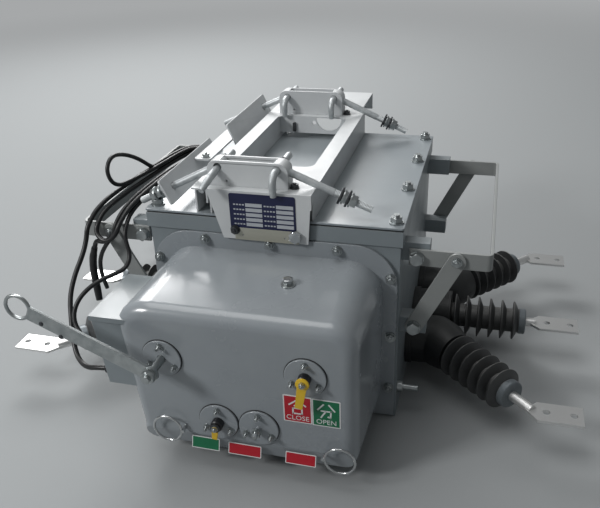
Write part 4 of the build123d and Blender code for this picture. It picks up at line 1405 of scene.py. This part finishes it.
@dataclass
class HangingFrame:
    """Frame, hangers, hook bolts, clamp plates, tie strip and nameplate."""

    bolts: tuple[HookBolt, ...] = (
        HookBolt("front_left", Side.LEFT, (-88, -216, 473), 79, -232, swung=True),
        HookBolt("front_right", Side.RIGHT, (16, -216, 473), 64, -232),
        HookBolt("rear_left", Side.LEFT, (-88, 216, 476), 71, 200, thread_from=60),
        HookBolt("rear_right", Side.RIGHT, (16, 216, 476), 70, 200),
    )
    rod_nut: Bolt = Bolt(flats=20, height=9, washer=13, washer_height=2.5)
    nut_runs: tuple[tuple[str, float], ...] = (
        ("front_right", 117), ("front_right", 130), ("rear_right", 122), ("rear_right", 135),
        ("front_left", 107.2), ("front_left", 128), ("front_left", 140), ("rear_left", 72.2),
    )
    washer_back: float = 5.2
    washer: Bolt = Bolt(flats=18, height=2, washer=15, washer_height=3)
    shank_nut: Bolt = Bolt(flats=19, height=9, washer=12.5, washer_height=2.5)
    # Blackened nut at each hanger's right foot; its dark is partly painted shade of the hanger's end
    foot_nut: Bolt = Bolt(flats=12, height=6, washer=8, washer_height=1.5, stud=2, stud_radius=3)
    small_bolt: Bolt = Bolt(flats=12, height=5.5, washer=8.5, washer_height=1.5, stud=3, stud_radius=3)
    hanger_sheet: float = 4
    hanger_corner: float = 16
    hanger_depth: float = 30
    corner_cover: float = 7
    hook_spacing: float = 52
    hook_hole: float = 7.2
    small_hole: Pair = (-37.5, 9)
    small_hole_radius: float = 2.2
    field_columns: tuple[Pair, ...] = ((0.25, 0.5), (0.715, 0.97))
    field_rows: int = 5
    first_row: float = 0.70
    row_step: float = 0.135
    field_tall: float = 0.095
    field_sheet: float = 0.35
    mark_tall: float = 0.035
    mark_before: Pair = (0.05, 0.02)
    mark_step: float = 0.045
    marks: int = 4
    strip_holes: tuple[Pair, ...] = ((-43.4, 359.5), (31.4, 359.5))
    strip_hole_radius: float = 1.8
    strip_sheet: float = 1
    strip_rise: float = 0.4
    dark_bolt: Pair = (-57, 369)
    bright_bolt: Pair = (49.5, 365)
    cap: Bolt = Bolt(flats=20, height=6, washer=9.5, washer_height=1)
    tie_strip_x: float = -164
    tie_strip_bolts: tuple[tuple[str, float, Finish], ...] = (
        ("front", -100, ZINC_STEEL), ("rear", 68, DARK_STEEL),
    )
    foot_beside: Pair = (8, -4)
    foot_height: float = 440
    web_catch: Point = (-69, 184, 415.5)
    web_catch_size: Pair = (7, 20)
    web_catch_depth: float = 5
    strip: tuple[float, float, float, float] = (-58, 55, 351, 373.5)

    def hanger(self, place: str) -> None:
        """Builds a hanger: two upright plates, joined by a bent end at each side and open above.

        The bent end's line rises along the side, turns through a quarter circle with the corner's radius
        and runs a little way along the top. Its section is a rectangle from plate to plate.

        Args:
            place: front or rear.
        """
        low, high = corners_of(f"hanger_{place}")
        width, height = high[0] - low[0], high[2] - low[2]
        centre = (low[0] + high[0]) / 2
        corner, sheet = self.hanger_corner, self.hanger_sheet
        arc = [
            (width / 2 - corner + corner * math.cos(a), height - corner + corner * math.sin(a))
            for a in np.linspace(0, math.pi / 2, 7)
        ]
        outline = [(-width / 2, 0), (width / 2, 0), *arc, *((-x, z) for x, z in reversed(arc))]
        seat_height = next(bolt.seat[2] for bolt in self.bolts if bolt.name.startswith(place)) - low[2]
        holes = [circle((side.value * self.hook_spacing, seat_height), self.hook_hole) for side in Side]
        small = circle(self.small_hole, self.small_hole_radius, 12)
        surfaces = [
            pierced([outline, *holes, small], sheet, (centre, low[1] + sheet, low[2]), FRONT_AXES),
            pierced([outline, *holes], sheet, (centre, high[1], low[2]), FRONT_AXES),
        ]
        outer = np.array([(width / 2, 0), *arc, (width / 2 - corner - self.corner_cover, height)])
        run = np.gradient(outer, axis=0)
        inward = np.column_stack([-run[:, 1], run[:, 0]]) / np.linalg.norm(run, axis=1, keepdims=True)
        inner = outer + inward * sheet
        front, rear = low[1] + sheet / 2, high[1] - sheet / 2
        for side in Side:
            rings = np.array([
                [
                    (centre + side.value * edge[0], y, low[2] + edge[1])
                    for edge, y in ((o, front), (o, rear), (i, rear), (i, front))
                ]
                for o, i in zip(outer, inner)
            ])
            surfaces.append(skinned(rings))
        made = Surface.joined(surfaces).piece(f"hanger_{place}_channel", FRAME_ENAMEL)
        round_edges(made, 0.8)
        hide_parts(f"hanger_{place}")

    def hook_bolts(self) -> None:
        """Builds the hook bolts with their nuts and washers."""
        for bolt in self.bolts:
            made = Surface.joined(bolt.surfaces()).piece(f"hook_and_rod_{bolt.name}", GALVANISED)
            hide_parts(f"hook_bolt_{bolt.name}")
        named = {bolt.name: bolt for bolt in self.bolts}
        runs = [(named[name], run) for name, run in self.nut_runs]
        fasteners("tie_rod_nuts", self.rod_nut, [(bolt.at(run), bolt.direction) for bolt, run in runs])
        washers = [
            (bolt.at(run - self.washer_back), bolt.direction)
            for bolt, run in runs
            if bolt.side is Side.RIGHT
        ]
        fasteners("tie_rod_washers", self.washer, washers, DARK_STEEL)
        shanks = [
            ((bolt.seat[0], bolt.hanger_face + self.hanger_depth, bolt.seat[2]), REARWARD)
            for bolt in self.bolts
        ]
        fasteners("shank_nuts", self.shank_nut, shanks, DARK_STEEL)

    def nameplate(self) -> None:
        """Dresses the nameplate: bare fields in columns and rows, and the strip below it.

        Each field has a row of short marks before it. Their sizes are shares of the plate's.
        """
        softened("nameplate", PLATE_NAVY, edge=0.2)
        low, high = corners_of("nameplate")
        width, height = high[0] - low[0], high[2] - low[2]
        near, far = self.mark_before
        fields = []
        for start, end in self.field_columns:
            for row in range(self.field_rows):
                middle = self.first_row - row * self.row_step
                steps = [start - self.mark_step * i for i in range(self.marks)]
                marks = [(at - near, at - far, self.mark_tall) for at in steps]
                for left, right, tall in ((start, end, self.field_tall), *marks):
                    x, z = low[0] + (left + right) / 2 * width, low[2] + middle * height
                    box = rectangle((right - left) * width, tall * height)
                    fields.append(slab(box, self.field_sheet, (x, low[1], z), FRONT_AXES))
        Surface.joined(fields).piece("nameplate_fields", PLATE_FIELD)
        left, right, bottom, top = self.strip
        outline = [(left, bottom), (right, bottom - 0.5), (right, top), (left, top)]
        holes = [circle(place, self.strip_hole_radius, 12) for place in self.strip_holes]
        back = low[1] + self.strip_sheet - self.strip_rise
        strip = pierced([outline, *holes], self.strip_sheet, (0, back, 0), FRONT_AXES)
        strip.piece("plate_strip", STRIP_METAL)
        for name, bolt, (x, z), finish in (
            ("dark", self.small_bolt, self.dark_bolt, DARK_STEEL),
            ("bright", self.cap, self.bright_bolt, BRIGHT_WIRE),
        ):
            seat = ((x, low[1] - self.strip_rise, z), FORWARD)
            fasteners(f"strip_bolt_{name}", bolt, [seat], finish)

    def build(self) -> None:
        """Dresses the frame's nodes and sets its fasteners."""
        for node in ("mounting_frame", "clamp_plate_front", "clamp_plate_rear", "tie_strip"):
            softened(node, FRAME_ENAMEL, edge=0.9)
        for place in ("front", "rear"):
            self.hanger(place)
        self.hook_bolts()
        self.nameplate()
        top = corners_of("tie_strip")[1][2]
        for end, y, finish in self.tie_strip_bolts:
            seat = ((self.tie_strip_x, y, top), UP)
            fasteners(f"tie_strip_bolt_{end}", self.small_bolt, [seat], finish)
        # The foot nuts are blackened, and their dark also paints the shade on the hanger's right end
        feet = []
        for place in ("front", "rear"):
            x, y = corners_of(f"hanger_{place}")[1][0], centre_of(f"hanger_{place}")[1]
            feet.append(((x + self.foot_beside[0], y + self.foot_beside[1], self.foot_height), UP))
        fasteners("hanger_foot_nuts", self.foot_nut, feet, DARK_STEEL)
        outline = rectangle(*self.web_catch_size, corner=2)
        slab(outline, self.web_catch_depth, self.web_catch, FRONT_AXES).piece("web_catch", DARK_STEEL)


@dataclass
class ControlCables:
    """Two cut control cables that leave the terminal box and meet in a hank over the left guard.

    Both run in the hank's turns, a diameter apart, on the four corners of a square round its middle line.
    """

    diameter: float = 9
    thin_diameter: float = 8
    outer_length: float = 1860
    upper_length: float = 1620
    strand_gap: float = 4.6
    hank: tuple[Point, ...] = (
        (-341, -235, 351), (-337, -244, 331), (-316, -249, 318), (-295, -244, 330),
        (-290, -235, 351), (-284, -204, 370), (-268, -140, 385), (-248, -70, 396),
        (-229, -18, 400.3), (-219, 20, 400.3), (-229, 45, 400.3), (-256, 46, 400.3),
        (-275, 16, 398), (-294, -42, 391), (-320, -130, 380), (-338, -204, 368.5),
    )
    outer: tuple[Point, ...] = (
        (-255.3, -408.5, 159.6), (-274.2, -408.5, 157.8), (-292, -404, 151), (-312, -395, 150),
        (-330, -381, 159), (-343, -363, 180), (-354, -342, 207), (-365, -318, 236),
        (-366, -290, 266), (-358, -263, 297), (-354.5, -248, 322), (-354.3, -239, 344),
    )
    upper: tuple[Point, ...] = (
        (-259, -385.5, 197.7), (-277.9, -385.5, 195.8), (-306, -382, 199), (-324, -373, 209),
        (-334, -361, 228), (-330, -346, 249), (-316, -329, 266), (-298, -311, 276),
        (-281, -292, 279), (-270.8, -274.9, 280.2), (-266.4, -261, 289), (-267.4, -251.5, 303),
        (-274, -247.5, 321), (-277.8, -241, 341),
    )
    sleeve: tuple[Point, ...] = (
        (-338.5, -242, 317.5), (-348, -238, 299), (-358, -235, 274), (-361, -236, 246),
        (-357, -241, 217), (-352, -248, 190),
    )
    thin_end: tuple[Point, ...] = (
        (-320, -247, 307.5), (-331, -245, 291), (-340, -242, 269), (-343, -238, 240),
        (-340, -233, 210),
    )
    sleeve_from: Point = (-319, -249, 318)
    thin_end_from: Point = (-310, -249, 320)
    sleeve_radius: float = 7
    sleeve_narrowing: Pair = (1.2, 0.8)
    sleeve_ends: Pair = (0.08, 0.96)
    loop: tuple[Point, ...] = (
        (-301, -66.6, 400.6), (-310.5, -84.3, 419.6), (-319.5, -107, 436.1), (-326, -130.8, 446.7),
        (-329.5, -150.4, 450.9), (-331.5, -166.6, 445.6), (-332, -176.6, 432), (-330.5, -176, 415),
        (-328, -165.4, 398.8), (-323, -143, 389),
    )

    def strand(self, corners: Sequence[int], start: Pair, end: Pair) -> list[Point]:
        """Points of one strand in the hank.

        Args:
            corners: numbers of the hank's points, in the order in which the strand passes them.
            start: the strand's place beside the middle line, across and upwards, in strand gaps.
            end: its place at the last of the points, reached evenly.

        Returns:
            The strand's points.
        """
        line = np.array(self.hank)
        run = np.roll(line, -1, axis=0) - np.roll(line, 1, axis=0)
        along = run / np.linalg.norm(run, axis=1, keepdims=True)
        upward = np.array(UP) - along * along[:, 2:]
        upward = upward / np.linalg.norm(upward, axis=1, keepdims=True)
        across = np.cross(along, upward)
        share = np.linspace(0, 1, len(corners))[:, None]
        place = (1 - share) * np.array(start) + share * np.array(end)
        order = list(corners)
        aside = place[:, :1] * across[order] + place[:, 1:] * upward[order]
        return [tuple(point) for point in line[order] + self.strand_gap * aside]

    def cord(self, name: str, points: Sequence[Point], diameter: float) -> bpy.types.Object:
        """Makes a cord's smooth line with its round section.

        Args:
            name: the piece's name.
            points: control points of its quadratic spline, in millimetres.
            diameter: of its sheath.

        Returns:
            The new piece, riding on the breaker.
        """
        curve = bpy.data.curves.new(name, "CURVE")
        curve.dimensions = "3D"
        curve.bevel_depth = diameter / 2 * MM
        curve.bevel_resolution = 5
        curve.use_fill_caps = True
        spline = curve.splines.new("NURBS")
        spline.points.add(len(points) - 1)
        flat = np.column_stack([np.array(points) * MM, np.ones(len(points))])
        spline.points.foreach_set("co", flat.ravel())
        spline.order_u = 3
        spline.use_endpoint_u = True
        spline.resolution_u = 10
        curve.materials.append(CABLE_PVC.material())
        made = new_object(name, curve)
        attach(made, BODY)
        LOG.info("%s: %d points, %g mm thick", name, len(points), diameter)
        return made

    def build(self) -> None:
        """Lays both cables: each from its gland, through the hank, to its cut end."""
        rearwards, front = range(15, 4, -1), range(4, -1, -1)
        outer = list(self.outer)
        outer += self.strand(rearwards, (1, 1), (1, 1)) + self.strand(front, (1, 1), (-1, -1))
        outer += self.strand(rearwards, (-1, -1), (-1, -1)) + self.strand((4, 3), (-1, -1), (-1, 0))
        outer += [self.sleeve_from, *self.sleeve]
        made = self.cord("control_cable_long", outer, self.diameter)
        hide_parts("control_cable_outer", "control_cable_hank")
        end = self.cable_end()
        upper = list(self.upper) + self.strand(range(5, 14), (1, -1), (1, -1))
        upper += list(self.loop) + self.strand(range(13, 2, -1), (-1, 1), (-1, 1))
        upper += [self.thin_end_from, *self.thin_end]
        made = self.cord("control_cable_short", upper, self.thin_diameter)
        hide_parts("control_cable_upper", "control_cable_loop")

    def cable_end(self) -> bpy.types.Object:
        """The shrunk sleeve over the long cable's cut end, narrower at its two ends.

        Returns:
            The new piece.
        """
        line = rounded(self.sleeve[1:], 14, 8)
        along = np.linspace(0, 1, len(line))
        first, last = self.sleeve_ends
        rise, fall = self.sleeve_narrowing
        radii = self.sleeve_radius - rise * np.clip(1 - along / first, 0, 1)
        radii -= fall * np.clip((along - last) / (1 - last), 0, 1)
        made = swept(line, radii, 24).piece("cable_end_sleeve", CABLE_PVC)
        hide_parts("control_cable_sleeve")
        return made


def main() -> None:
    """Builds the stage and the breaker's sub-assemblies in order."""
    logging.basicConfig(level=logging.INFO, format="%(name)s: %(message)s")
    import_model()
    Studio().build()
    for assembly in (ControlCables(), Tank(), Mechanism(), Guards(), Bushings(), HangingFrame()):
        assembly.build()
        LOG.info("%s built", type(assembly).__name__)
    bpy.context.view_layer.update()


if __name__ == "__main__":
    main()
